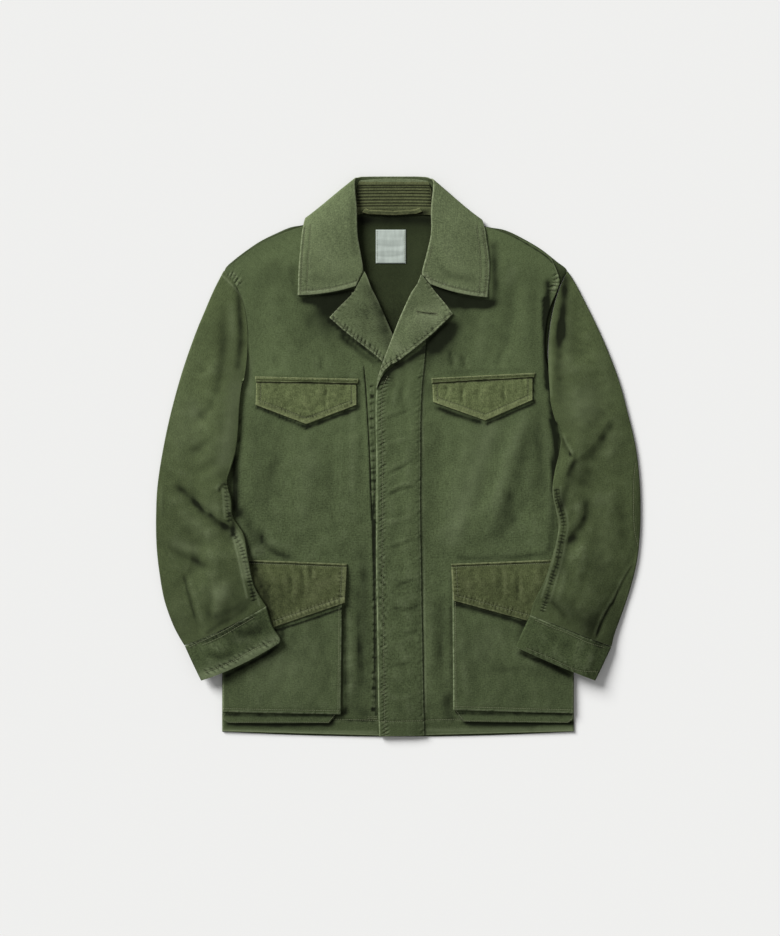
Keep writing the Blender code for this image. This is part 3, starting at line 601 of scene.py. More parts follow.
def seam_relief(path, seam, x, y, seed):
    """What a row of stitches does to the cloth beside it: its height, and the crests and hollows of its puckers and
    groove, for painted highlight and painted shade.
    """
    height, crest, hollow = np.zeros(x.shape), np.zeros(x.shape), np.zeros(x.shape)
    spot = near(path, x, y, 3 * seam.reach)
    if not spot.any():
        return height, crest, hollow
    run, off, length = along(path, x[spot], y[spot])
    ends = smooth(run / 3 + 0.3) * smooth((length - run) / 3 + 0.3)
    wander = 2.6 * rumple(run, 0 * run + seed, 16, seed) + 1.5 * rumple(run, off * 0.4, 6, seed + 1)
    uneven = 0.6 + 0.75 * rumple(run, off * 0.3, 11, seed + 2)
    turn = 2 * math.pi * (run + seam.slant * off) / seam.wave + wander
    spread = np.exp(-((off / seam.reach) ** 2))
    pull = np.cos(turn) * uneven * spread
    row = np.exp(-((off / 1.1) ** 2)) * ends
    height[spot] = ends * (PUCKER * seam.pucker * pull + seam.lift * smooth(-off / 1.5) * spread) - seam.groove * row
    # The puckers' crests are painted pale, as highlight and wear, and their hollows and the groove painted with
    # shade.
    rungs = np.cos(turn) * (0.75 + 0.6 * (uneven - 0.6)) * np.exp(-((off / seam.reach) ** 4))
    rungs = rungs * min(1, 2.4 * seam.pucker)
    crest[spot] = smooth((rungs - 0.1) / 0.8) * ends * (1 - 0.7 * row)
    hollow[spot] = np.maximum(row * seam.groove * 1.5, smooth((-rungs - 0.05) / 0.8) * ends)
    return height, crest, hollow


# Meshes


def grid_lines(count, width, crowded=()):
    """Grid lines from 0 to 1, with a narrow cell at either end. Each crowded place has closer lines: it gives the
    place, how far it reaches and how much closer they are."""
    at = np.linspace(0, 1, 600)
    density = np.ones(at.size)
    for place, reach, gain in crowded:
        density += gain * np.exp(-(((at - place) * width / reach) ** 2))
    run = np.concatenate([[0], np.cumsum(density[1:] + density[:-1])])
    end = min(0.5 / count, EDGE_CELL / width)
    inner = np.interp(np.linspace(0, run[-1], count - 1), run, at)
    return np.concatenate([[0], end + (1 - 2 * end) * inner, [1]])


def hollowness(z, column, row, reach):
    """How far each point of a grid lies below the cloth round it. reach is in cells, across and along."""
    grid = np.empty((row.max() + 1, column.max() + 1))
    grid[row, column] = z
    level = grid
    for axis, cells in enumerate(reach[::-1]):
        pad = [(0, 0), (0, 0)]
        pad[axis] = (cells, cells)
        padded = np.pad(level, pad, mode="edge")
        size = level.shape[axis]
        level = sum(np.take(padded, range(i, i + size), axis) for i in range(2 * cells + 1)) / (2 * cells + 1)
    return (level - grid)[row, column]


def add_piece(mesh, material, node=None):
    """The object of a mesh. It replaces a node, unless it is an addition to another piece."""
    mesh.materials.append(material)
    mesh.shade_smooth()
    piece = bpy.data.objects.new(mesh.name, mesh)
    bpy.context.scene.collection.objects.link(piece)
    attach(piece, "root")
    if node:
        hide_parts(node)
    return piece


def paint_wear_and_shade(piece, x, y, from_edge, crest, hollow, depth, edge_wear):
    """Wear and painted light: pale edges from wear, wear and painted highlight on crests, painted shade in hollows
    and seams.
    """
    patchy = 0.6 + 0.35 * rumple(x, y, 9, 31) + 0.75 * rumple(x, y, 2.6, 32)
    pale = edge_wear * np.exp(-((from_edge / 1.5) ** 2)) + 0.5 * crest + 0.35 * np.clip(-depth / 0.5, 0, 1)
    crease_wear_and_highlight, crease_shade = crease_shade_and_highlight(piece.marks, x, y)
    wear_and_highlight = pale * patchy + crease_wear_and_highlight
    # Seams, hollows and creases are painted with shade.
    dark = np.maximum(hollow, 0.6 * np.clip(depth / 0.6, 0, 1)) + crease_shade
    # Painted streaks: shade where the strength is above zero, highlight and wear where it is below.
    for half_width, strength, *where in piece.shades:
        path = path_of(piece, where, 6)
        spot = near(path, x, y, 3 * half_width)
        if spot.any():
            run, off, length = along(path, x[spot], y[spot])
            spread = abs(strength) * np.exp(-((off / half_width) ** 2))
            if half_width > NARROW_SHADE:
                ends = min(0.45 * length, 2 * half_width)
                spread = spread * (0.1 + 0.9 * smooth(run / ends) * smooth((length - run) / ends))
            uneven = min(0.3, 0.9 / half_width) * rumple(x[spot], y[spot], 5 + 1.5 * half_width, 37)
            (dark if strength > 0 else wear_and_highlight)[spot] += spread * (0.9 + uneven)
    for name, values in (("wear_and_highlight", wear_and_highlight), ("dark", dark)):
        layer = piece.mesh.attributes.new(name, "FLOAT", "POINT")
        layer.data.foreach_set("value", np.clip(values, 0, 1).astype(np.float32))


class Cloth:
    """What a sheet and a tube of cloth have in common. A piece stands for a node and follows its table of
    sections."""

    def __init__(self, node, table, curved, material, slot, wall, seams, shades, marks):
        self.node, self.table, self.curved, self.material, self.slot = node, table, curved, material, slot
        self.wall, self.seams, self.shades, self.marks, self.rows = wall, seams, shades, marks, []
        places = np.linspace(0, 1, MEASURES)
        sides = [points_at(table, np.full(MEASURES, u), places, curved) for u in (0.0, 0.5, 1.0)]
        self.width = np.linalg.norm(sides[2] - sides[0], axis=1).max()
        self.length = max(np.linalg.norm(np.diff(side, axis=0), axis=1).sum() for side in sides)

    def lay_grid(self, across, up):
        """Its cells, with the column and the row of each vertex."""
        sheet = bmesh.new()
        bmesh.ops.create_grid(sheet, x_segments=across, y_segments=up, size=0.5, calc_uvs=True)
        self.mesh = bpy.data.meshes.new("cloth_" + self.node)
        sheet.to_mesh(self.mesh)
        sheet.free()
        at = np.empty(len(self.mesh.vertices) * 3)
        self.mesh.vertices.foreach_get("co", at)
        at = at.reshape(-1, 3) + 0.5
        self.column, self.row = np.rint(at[:, 0] * across).astype(int), np.rint(at[:, 1] * up).astype(int)

    def sew(self, x, y, seed_step, shown, firm):
        """What its seams do to it: its lift where it is firm, and the crests and hollows where they are shown. It
        keeps the rows that have thread."""
        lift, crest, hollow = np.zeros(x.shape), np.zeros(x.shape), np.zeros(x.shape)
        for number, seam in enumerate(self.seams):
            path = path_of(self, seam.where)
            rise, high, low = seam_relief(path, seam, x, y, seed_step * number + len(self.node))
            lift, crest, hollow = lift + rise * firm, np.maximum(crest, high * shown), np.maximum(hollow, low * shown)
            if seam.thread:
                self.rows.append(running_stitches(path))
        return lift, crest, hollow

    def finish(self, x, y, z, weft, warp):
        """Its points, its own UV map, in metres along the weft and the warp, and its object."""
        self.mesh.vertices.foreach_set("co", (np.stack([x, y, z], axis=1) * MM).ravel())
        corners = np.empty(len(self.mesh.loops), int)
        self.mesh.loops.foreach_get("vertex_index", corners)
        grain = np.stack([weft[corners], warp[corners]], axis=1) * MM
        (self.mesh.uv_layers.active or self.mesh.uv_layers.new(name="grain")).data.foreach_set("uv", grain.ravel())
        self.mesh.uv_layers.active.name = "grain"
        self.object = add_piece(self.mesh, self.material, self.node)

    def give_wall(self, offset):
        """Its thickness, outside its points where offset is 1 and inside them where it is -1."""
        self.thicken = self.object.modifiers.new("wall", "SOLIDIFY")
        self.thicken.thickness = self.wall * MM
        self.thicken.offset = offset


def path_of(piece, where, steps=10):
    """The path of a seam or a shade of the piece: along an edge where it begins with the edge's name."""
    if isinstance(where[0], str):
        return edge_path(piece.table, where, piece.curved)
    return curve_through(where, steps)


def cloth_sheet(
    node, table, cell, material, slot, under=None, wall=CLOTH, curved=False, seams=(), creases=(), edge_wear=0.8,
    ground=0.0, only=None, shades=(), crowded=(), marks=(), rim=0.45, crinkle=0.0, outer=None,
):
    """cell is the size of its grid's cells, across and along. under gives the height of its underside, and marks
    the creases that are already in it. only says where along it there are creases, crinkle how high its finest
    ones are, crowded where its grid is closer, rim how thin its edges are and outer the finish of its other side."""
    piece = Cloth(node, table, curved, material, slot, wall, seams, shades, marks or creases)
    width, length = piece.width, piece.length
    across, up = max(4, round(width / cell[0])), max(4, round(length / cell[1]))
    piece.lay_grid(across, up)
    column, row = piece.column, piece.row
    u, v = grid_lines(across, width, crowded)[column], grid_lines(up, length)[row]
    points = points_at(table, u, v, curved)
    x, y = points[:, 0], points[:, 1]
    here = 1 if only is None else only(v)
    z = ground + (points[:, 2] if under is None else under(x, y)) + crease_height(creases, x, y) * here
    if crinkle:
        z = z + crinkle * np.clip(1.1 * rumple(x * 1.2, y * 0.8, 13, 41) + 0.5 * rumple(x, y, 5.5, 42), -1, 1)
    lift, crest, hollow = piece.sew(x, y, 11, shown=here, firm=here)
    z = z + lift
    span = np.linalg.norm(points_at(table, np.ones(len(v)), v, curved) - points_at(table, 0 * v, v, curved), axis=1)
    from_edge = np.minimum(np.minimum(u, 1 - u) * span, np.minimum(v, 1 - v) * length)
    # How far each point lies below or above the cloth round it: painted shade in hollows, highlight and wear on
    # raised spots.
    depth = hollowness(z, column, row, [max(1, round(HOLLOW_REACH / size)) for size in cell])
    paint_wear_and_shade(piece, x, y, from_edge, crest, hollow, depth, edge_wear)
    piece.finish(x, y, z, u * span, v * length)
    piece.give_wall(1)
    thin = (column == 0) | (column == across) | (row == 0) | (row == up)
    group = piece.object.vertex_groups.new(name="wall")
    group.add(range(len(thin)), 1.0, "REPLACE")
    group.add(np.nonzero(thin)[0].tolist(), rim, "REPLACE")
    piece.thicken.vertex_group = "wall"
    if outer:
        piece.mesh.materials.append(outer)
        piece.thicken.material_offset = 1
    return piece


def ring_profile(q):
    """Across a flattened tube, from -1 to 1, and how high its skin is there, from 0 at the edges to 1."""
    p = 0.6 * q + 0.4 * np.sin(q * math.pi / 2)
    return p, np.maximum(0, 1 - abs(p) ** (2 / 0.6)) ** 0.25


def cloth_tube(
    node, table, cell, material, slot, wall=CLOTH, puff=0.0, folds=(), creases=(), seams=(), edge_wear=0.3,
    shades=(), head=1.0, head_reach=55, tuck=0.0, over=None, flat_side=0.0,
):
    """A flattened tube of cloth, open at both ends. Its creases and seams are on its upper side, and its lower
    side, on a coarser grid, lies on what is under it. head is how full it is where it starts, head_reach how far
    that goes, tuck how far its upper side reaches over the piece beside it there, over that piece's height and
    flat_side how flat its inner side is there."""
    piece = Cloth(node, table, True, material, slot, wall, seams, shades, creases)
    top, foot, rings = (round(size) for size in (piece.width / cell, piece.width / (2.4 * cell), piece.length / cell))
    piece.lay_grid(top + foot, rings)
    column, row = piece.column, piece.row
    upper = column <= top
    p, profile = ring_profile(np.where(upper, 2 * column / top - 1, 1 - 2 * (column - top) / foot))
    v = grid_lines(rings, piece.length)[row]
    points = points_at(table, (1 + p) / 2, v, True)
    x, y = points[:, 0], points[:, 1]
    half_height = wall + SLEEVE_AIR / 2
    floor = sleeve_under(x, y)
    z = floor + half_height + np.where(upper, 1, -1) * profile * half_height
    from_head = v * piece.length
    x = x - np.sign(x) * tuck * upper * (1 - smooth(from_head / 16)) * smooth(profile * 1.4)
    full = head + (1 - head) * smooth(from_head / head_reach)
    full = full * (1 - flat_side * (1 - smooth((1 - p) / 0.4)) * (1 - smooth((v - 0.22) / 0.16)))
    relief = fold_height(folds, x, y) + SLEEVE_RELIEF * crease_height(creases, x, y) + puff * (1 - p * p)
    relief = relief + 0.9 * rumple(x, y, 38, 5) + 0.4 * rumple(x, y, 15, 6)
    soft_floor = -(2 * half_height * profile - 2 * wall - 0.5)
    z = z + np.where(upper, profile * np.maximum(relief, soft_floor), 0)
    if head < 1:
        lowest = floor + half_height * (1 - profile) + profile * (2 * wall + 0.4)
        z = np.where(upper, lowest + (z - lowest) * full, z)
    if over is not None:
        z = np.where(upper & (from_head < 10), np.maximum(z, profile * (over(x, y) + wall + 0.4)), z)
    z = z + np.where(upper, 0, profile * 0.5 * np.clip(rumple(x, y, 24, 7), 0, 1))
    lift, crest, hollow = piece.sew(x, y, 13, shown=upper, firm=upper * np.minimum(1, profile * 1.5))
    z = z + lift
    reach = round(HOLLOW_REACH / cell)
    # How far each point lies below or above the cloth round it: painted shade in hollows, highlight and wear on
    # raised spots.
    depth = np.where(upper & (abs(p) < 0.75), hollowness(z, column, row, (reach, reach)), 0)
    paint_wear_and_shade(piece, x, y, np.minimum(v, 1 - v) * piece.length, crest, hollow, depth, edge_wear)
    piece.finish(x, y, z, np.where(upper, p, 2 - p) * piece.width / 2, from_head)
    tube = bmesh.new()
    tube.from_mesh(piece.mesh)
    bmesh.ops.remove_doubles(tube, verts=tube.verts, dist=0.02 * MM)
    bmesh.ops.recalc_face_normals(tube, faces=tube.faces)
    if sum(face.normal.z * face.calc_area() for face in tube.faces if face.calc_center_median().z > UPPER_SKIN) < 0:
        bmesh.ops.reverse_faces(tube, faces=tube.faces)
    tube.to_mesh(piece.mesh)
    tube.free()
    piece.give_wall(-1)
    return piece


def running_stitches(path):
    """Plan points and heights of a row: the thread shows for two thirds of each stitch, then dips."""
    run = np.concatenate([[0], np.cumsum(np.linalg.norm(np.diff(path, axis=0), axis=1))])
    count = max(1, int(run[-1] / STITCH))
    at = (np.arange(count)[:, None] * STITCH + [0, 0.45, STITCH * 0.5, STITCH - 0.8]).ravel()
    return np.interp(at, run, path[:, 0]), np.interp(at, run, path[:, 1]), [-0.5, 0.1, 0.16, 0.1] * count


def bar_tack(start, stop, half_width):
    """A close zigzag, as on a buttonhole or where a seam ends."""
    start, stop = np.array(start, float), np.array(stop, float)
    length = np.linalg.norm(stop - start)
    way = (stop - start) / length
    steps = np.arange(0, length, BAR_PITCH)
    side = np.where(np.arange(len(steps)) % 2 == 0, half_width, -half_width)
    points = start + way * steps[:, None] + np.array([-way[1], way[0]]) * side[:, None]
    return points[:, 0], points[:, 1], [0.18] * len(steps)


def stitch_rows(piece, rows, material):
    """Rows of thread laid on a piece, as one mesh."""
    depsgraph = bpy.context.evaluated_depsgraph_get()
    tree = BVHTree.FromObject(piece.object, depsgraph)
    threads = bpy.data.curves.new("thread", "CURVE")
    threads.dimensions = "3D"
    threads.bevel_depth = THREAD * MM
    threads.bevel_resolution = 0
    threads.use_fill_caps = True
    for xs, ys, lifts in rows:
        points = []
        for x, y, lift in zip(xs, ys, lifts):
            hit = tree.ray_cast(Vector((x * MM, y * MM, ABOVE_ALL)), Vector((0, 0, -1)))[0]
            if hit is not None:
                points.append((hit.x, hit.y, hit.z + lift * MM))
        if len(points) >= 4:
            spline = threads.splines.new("POLY")
            spline.points.add(len(points) - 1)
            spline.points.foreach_set("co", [c for point in points for c in (*point, 1)])
    holder = bpy.data.objects.new("thread", threads)
    bpy.context.scene.collection.objects.link(holder)
    mesh = bpy.data.meshes.new_from_object(holder.evaluated_get(bpy.context.evaluated_depsgraph_get()))
    bpy.data.objects.remove(holder)
    mesh.name = "stitches_" + piece.node
    mesh.materials.clear()
    return add_piece(mesh, material)


# Finishes


class Wire:
    """A value in a finish. Arithmetic on it adds Math nodes."""

    def __init__(self, finish, socket):
        self.finish, self.socket = finish, socket

    def math(self, operation, *values):
        inputs = dict(enumerate(values))
        return self.finish.wire("ShaderNodeMath", {"operation": operation}, inputs)

    def __add__(self, other):
        return self.math("ADD", self, other)

    def __sub__(self, other):
        return self.math("SUBTRACT", self, other)

    def __rsub__(self, other):
        return self.math("SUBTRACT", other, self)

    def __mul__(self, other):
        return self.math("MULTIPLY", self, other)

    def sine(self):
        return self.math("SINE", self)

    __radd__, __rmul__ = __add__, __mul__


class Finish:
    """A material made of nodes."""

    def __init__(self, name):
        self.material = bpy.data.materials.new(name)
        self.material.use_nodes = True
        self.nodes, self.links = self.material.node_tree.nodes, self.material.node_tree.links
        self.shader = self.nodes["Principled BSDF"]

    def add(self, kind, settings=None, inputs=None):
        node = self.nodes.new(kind)
        for key, value in (settings or {}).items():
            setattr(node, key, value)
        for key, value in (inputs or {}).items():
            self.feed(node.inputs[key], value)
        return node

    def feed(self, socket, value):
        if isinstance(value, Wire):
            self.links.new(value.socket, socket)
        else:
            socket.default_value = value

    def wire(self, kind, settings=None, inputs=None, output=0):
        return Wire(self, self.add(kind, settings, inputs).outputs[output])

    def surface(self, **values):
        """Sets the shader's sockets, which go by their names with an underscore for each space."""
        for name, value in values.items():
            self.feed(self.shader.inputs[name.replace("_", " ")], value)

    def grain(self):
        """The cloth's own UV map, and its places along the weft and the warp."""
        grain = self.wire("ShaderNodeUVMap", {"uv_map": "grain"})
        split = self.add("ShaderNodeSeparateXYZ", {}, {0: grain})
        return grain, Wire(self, split.outputs[0]), Wire(self, split.outputs[1])

    def layer(self, name):
        return self.wire("ShaderNodeAttribute", {"attribute_name": name}, output=2)

    def bump(self, strength, distance, height):
        return self.wire("ShaderNodeBump", {}, {"Strength": strength, "Distance": distance, "Height": height})

    def noise(self, vector, scale, detail=2.0, roughness=0.5):
        inputs = {"Vector": vector, "Scale": scale, "Detail": detail, "Roughness": roughness}
        return self.wire("ShaderNodeTexNoise", {"noise_dimensions": "3D"}, inputs)

    def stretched(self, vector, across, up):
        return self.wire("ShaderNodeMapping", {}, {"Vector": vector, "Scale": (across, up, 1)})

    def mix(self, share, first, second):
        node = self.add("ShaderNodeMix", {"data_type": "RGBA", "clamp_factor": True})
        for socket, value in zip((node.inputs[0], node.inputs[6], node.inputs[7]), (share, first, second)):
            self.feed(socket, value)
        return Wire(self, node.outputs[2])

    def spread(self, value, low, high):
        inputs = {"Value": value, "From Min": low, "From Max": high}
        return self.wire("ShaderNodeMapRange", {"interpolation_type": "SMOOTHSTEP"}, inputs)


def shade_of(colour, amount):
    """A paler or a deeper colour."""
    return (*(min(1.0, c * amount) for c in colour), 1)


def washed_twill(name, colour, wear_and_highlight, low=0.87, high=1.2, contrast=1.0, blotch=0.5, seed=0.0):
    """Garment-dyed cotton twill: diagonal ribs, slubs, flecks and uneven dye, pale with wear and painted highlights,
    and dark with painted shade in its seams and hollows. low and high are how deep the colour is painted at the hem
    and how pale at the shoulders: painted shade and light."""
    finish = Finish(name)
    grain, weft, warp = finish.grain()
    place = finish.wire("ShaderNodeTexCoord", output=3)
    upwards = Wire(finish, finish.add("ShaderNodeSeparateXYZ", {}, {0: place}).outputs[1])
    place = finish.wire("ShaderNodeVectorMath", {"operation": "ADD"}, {0: place, 1: (seed, seed * 0.7, 0)})
    wobble = finish.noise(grain, 260, 1.0)
    rib = ((weft + warp) * (2 * math.pi / TWILL_RIB) + wobble * 5.0).sine()
    speck = finish.noise(grain, 1500, 2.0, 0.7)
    fleck = finish.noise(grain, 560, 2.0, 0.65)
    slub = finish.noise(finish.stretched(grain, 900, 90), 1.0, 2.0)
    streak = finish.noise(finish.stretched(grain, 240, 780), 1.0, 2.0)
    mottle = finish.noise(place, 95, 3.0, 0.6)
    cloud = finish.noise(place, 14, 2.0, 0.5)
    parts = ((speck, 0.3), (fleck, 0.42), (slub, 0.24), (streak, 0.36), (mottle, 0.26 * blotch), (cloud, 0.16))
    middle = sum(share for _, share in parts) / 2
    tone = finish.spread(sum(part * share for part, share in parts), middle - 0.23, middle + 0.23)
    ground = finish.mix(tone, shade_of(colour, 1 - 0.42 * contrast), shade_of(colour, 1 + 0.5 * contrast))
    # Painted shade and light: darker towards the hem, paler towards the shoulders.
    painted_falloff = finish.spread(upwards, -0.42, 0.38) * (high - low) + low
    ground = finish.wire("ShaderNodeVectorMath", {"operation": "SCALE"}, {0: ground, "Scale": painted_falloff})
    # Pale where the cloth shows wear and where highlights are painted.
    ground = finish.mix(finish.layer("wear_and_highlight") * (speck * 0.7 + fleck * 0.5 + 0.1), ground, (*wear_and_highlight, 1))
    # The dark layer is painted shade, mixed towards a deep copy of the colour.
    dark = finish.layer("dark")
    height = rib * 0.3 + speck * 1.1 + slub * 0.7 + fleck * 1.2 + streak * 0.9
    finish.surface(
        Base_Color=finish.mix(dark * (dark * 0.52 + 0.44), ground, shade_of(colour, 0.10)),
        Roughness=finish.spread(speck, 0.2, 0.8) * 0.12 + 0.82,
        Normal=finish.bump(0.45, 0.0007, height), Specular_IOR_Level=0.08,
    )
    return finish.material


def woven_label(name, colour):
    """Satin label cloth with a fine cross rib."""
    finish = Finish(name)
    grain, _, warp = finish.grain()
    speck = finish.noise(grain, 1300, 2.0, 0.6)
    cloud = finish.noise(finish.stretched(grain, 30, 160), 1.0, 2.0)
    tone = finish.spread(speck * 0.4 + cloud * 0.6, 0.3, 0.7)
    ground = finish.mix(tone, shade_of(colour, 0.82), shade_of(colour, 1.12))
    rib = (warp * (2 * math.pi / LABEL_RIB)).sine()
    # The dark layer is painted shade in the label's creases and seams.
    finish.surface(
        Base_Color=finish.mix(finish.layer("dark") * 0.5, ground, shade_of(colour, 0.45)),
        Roughness=0.55, Normal=finish.bump(0.3, 0.0003, rib * 0.5 + speck),
    )
    return finish.material


def cotton_thread(name, colour):
    finish = Finish(name)
    twist = finish.noise(finish.wire("ShaderNodeTexCoord", output=3), 1200, 1.0)
    finish.surface(Base_Color=finish.mix(twist, shade_of(colour, 0.75), shade_of(colour, 1.25)), Roughness=0.8)
    return finish.material


OLIVE = (0.064, 0.0845, 0.0375)
# The pale colour of wear and of painted highlights
WEAR_AND_HIGHLIGHT_OLIVE = (0.21, 0.25, 0.14)
# low and high paint shade towards the hem and cuffs and light towards the shoulders.
body_twill = washed_twill("body_twill", OLIVE, WEAR_AND_HIGHLIGHT_OLIVE, low=0.86, high=1.36)
sleeve_twill = washed_twill("sleeve_twill", (0.063, 0.082, 0.0345), WEAR_AND_HIGHLIGHT_OLIVE, low=0.70, high=1.22, seed=1.3)
# The cuffs' colour is deeper than the sleeves' as painted shade towards the cuffs.
cuff_twill = washed_twill("cuff_twill", (0.049, 0.066, 0.028), WEAR_AND_HIGHLIGHT_OLIVE, contrast=1.2, seed=6.1)
collar_twill = washed_twill("collar_twill", (0.089, 0.112, 0.0545), (0.28, 0.32, 0.19), contrast=1.2, seed=2.1)
flap_twill = washed_twill(
    "flap_twill", (0.085, 0.105, 0.043), (0.26, 0.29, 0.14), contrast=1.3, blotch=0.35, seed=3.7
)
pocket_flap_twill = washed_twill(
    "pocket_flap_twill", (0.061, 0.074, 0.0295), (0.20, 0.22, 0.11), contrast=1.25, blotch=0.35, seed=7.7
)
neck_twill = washed_twill("neck_twill", (0.071, 0.082, 0.037), (0.21, 0.22, 0.10), contrast=1.2, seed=4.2)
# The inside's deep colour is painted shade: the back's inside lies in shadow in the neck and in the armhole gaps.
inside_twill = washed_twill("inside_twill", (0.0245, 0.032, 0.0135), OLIVE, seed=5.9)
label_satin = woven_label("label_satin", (0.405, 0.46, 0.415))
olive_thread = cotton_thread("olive_thread", (0.17, 0.19, 0.10))
dark_thread = cotton_thread("dark_thread", (0.05, 0.055, 0.03))

# Pieces


def sewn(piece, rests_on, thread=olive_thread, tacks=()):
    rows = piece.rows + [bar_tack(*tack) for tack in tacks]
    under = [rest if rest == "floor" else rest.object for rest in rests_on]
    stitches = [stitch_rows(piece, rows, thread)] if rows else []


back = cloth_sheet(
    "back", BACK, (7.2, 5.2), inside_twill, "body_twill", back_under, curved=True, ground=0.02, outer=body_twill,
    seams=[Seam(("start", 21, 0.02, 0.98), 0.3, 0, 8, 4)],
    shades=[
        (16, 0.5, -64, 393, -57, 303, -60, 240), (8, 0.3, 53, 393, 49, 303, 42, 261), (9, 0.7, -64, 332, 59, 332),
        (12, -0.25, 31, 310, 25, 261, 8, 205), (12, 0.5, -11, 219, -8, 166),
        (6, 1, 221, 239, 211, 205, 207, 163, 209, 121),
        (5, -1.2, -133, 328, -165, 314, -193, 300, -221, 281, -246, 261),
        (5, -1.2, 120, 326, 157, 313, 185, 298, 241, 257), (12, 0.35, -64, 326, 59, 326),
    ],
)
front_right = cloth_sheet(
    "front_right", RIGHT_FRONT, (4.4, 1.8), body_twill, "body_twill", right_front_under, curved=True,
    crowded=[(0.0, 14, 1.5), (0.82, 9, 4.5)], marks=BODY_CREASES,
    seams=[
        Seam(("start", 21.5, 0, 1), 0.45, 0.22, 8, 5), Seam(("a", 8, 0.87, 0.965), 0.2, 0.9, 5.5, 5.5, 0.4, 0),
        Seam(PLACKET_LINE, 0.9, 0, 9, 5, 0.6, 0.5, False), Seam(PLACKET_BAND, 0.3, 0.5, 11, 3.4, 0.2, 0, False),
    ],
    shades=[
        (1.25, 1.3, -47, 114, -41.5, 37, -37, -89), (2.2, 0.9, -32.5, -89, -32, -229, -31, -360.5),
        (2.4, 0.6, -35, -61, -34, -145), (9, 0.3, -45, -145, -42, -257, -48, -341),
        (9, 0.65, -59, -341, -48, -358, -31, -358), (2, 0.9, -213, 177, -213, 149), (6, -0.25, -235, 261, -224, 247),
        (1.2, 1, -136, 323, -165, 312, -193, 298, -214, 285, -227, 274.5, -241, 264),
        (22, 0.25, -190, 272, -172, 258, -151, 264), (3.4, 1.2, -197, 69, -129, 41), (3.4, 1.2, -126, 41, -57, 67),
        (2.2, 0.9, -55.5, 104.5, -55.5, 70.5), (1.4, 0.9, -70, -152, -70, -206.5),
        (2.6, 1.1, -75, -209.5, -75, -357.5), (2.6, 1, -94, 189.5, -59, 160.5, -21, 131),
        (1.5, 0.8, -221, 58, -222, 20.5), (6.5, 1.3, -230, 9, -228, -33, -227, -68, -221, -92),
        (9, 0.6, -218, -61, -207, -103, -196, -134, -188, -148), (6, 1.3, -139, 219, -92, 220, -53, 234),
        (16, 0.8, -129, 211, -50, 226), (28, 0.6, -123, 230, -74, 163), (38, 0.4, -120, 225, -60, 121),
        (7, 0.5, -148, 272, -144, 233, -129, 211), (5, 0.7, -85, 173, -53, 146, -25, 127),
        (7, 0.3, -200, -94, -182, -120, -162, -134), (1.3, 0.5, -33, 96, -33, -82),
        (6, 0.45, -52, -117, -49, -201, -53, -327), (6, 0.4, -69, -296, -63, -327, -67, -358),
        (1.6, 0.35, -197.5, 112, -59, 110), (14, 0.25, -162, 51, -171, -19, -157, -75), (8, 0.3, -202, 58, -196, -78),
        (9, -0.12, -120, 23, -115, -33), (4.2, 1.2, -244, -374, -165, -375, -88, -374),
        (6, 0.9, -106, -377, -67, -352), (2.4, -0.4, -242, -383, -137, -384.5, -31, -385.5),
        (1.4, -0.7, "start", 0.8, 0, 1), (1.2, 0.7, -74, -369.5, -31, -370.5), (5, -0.3, -210, 142, -207, 79),
        (3.5, 1, -182, -274, -199, -285, -246, -310),
    ],
)
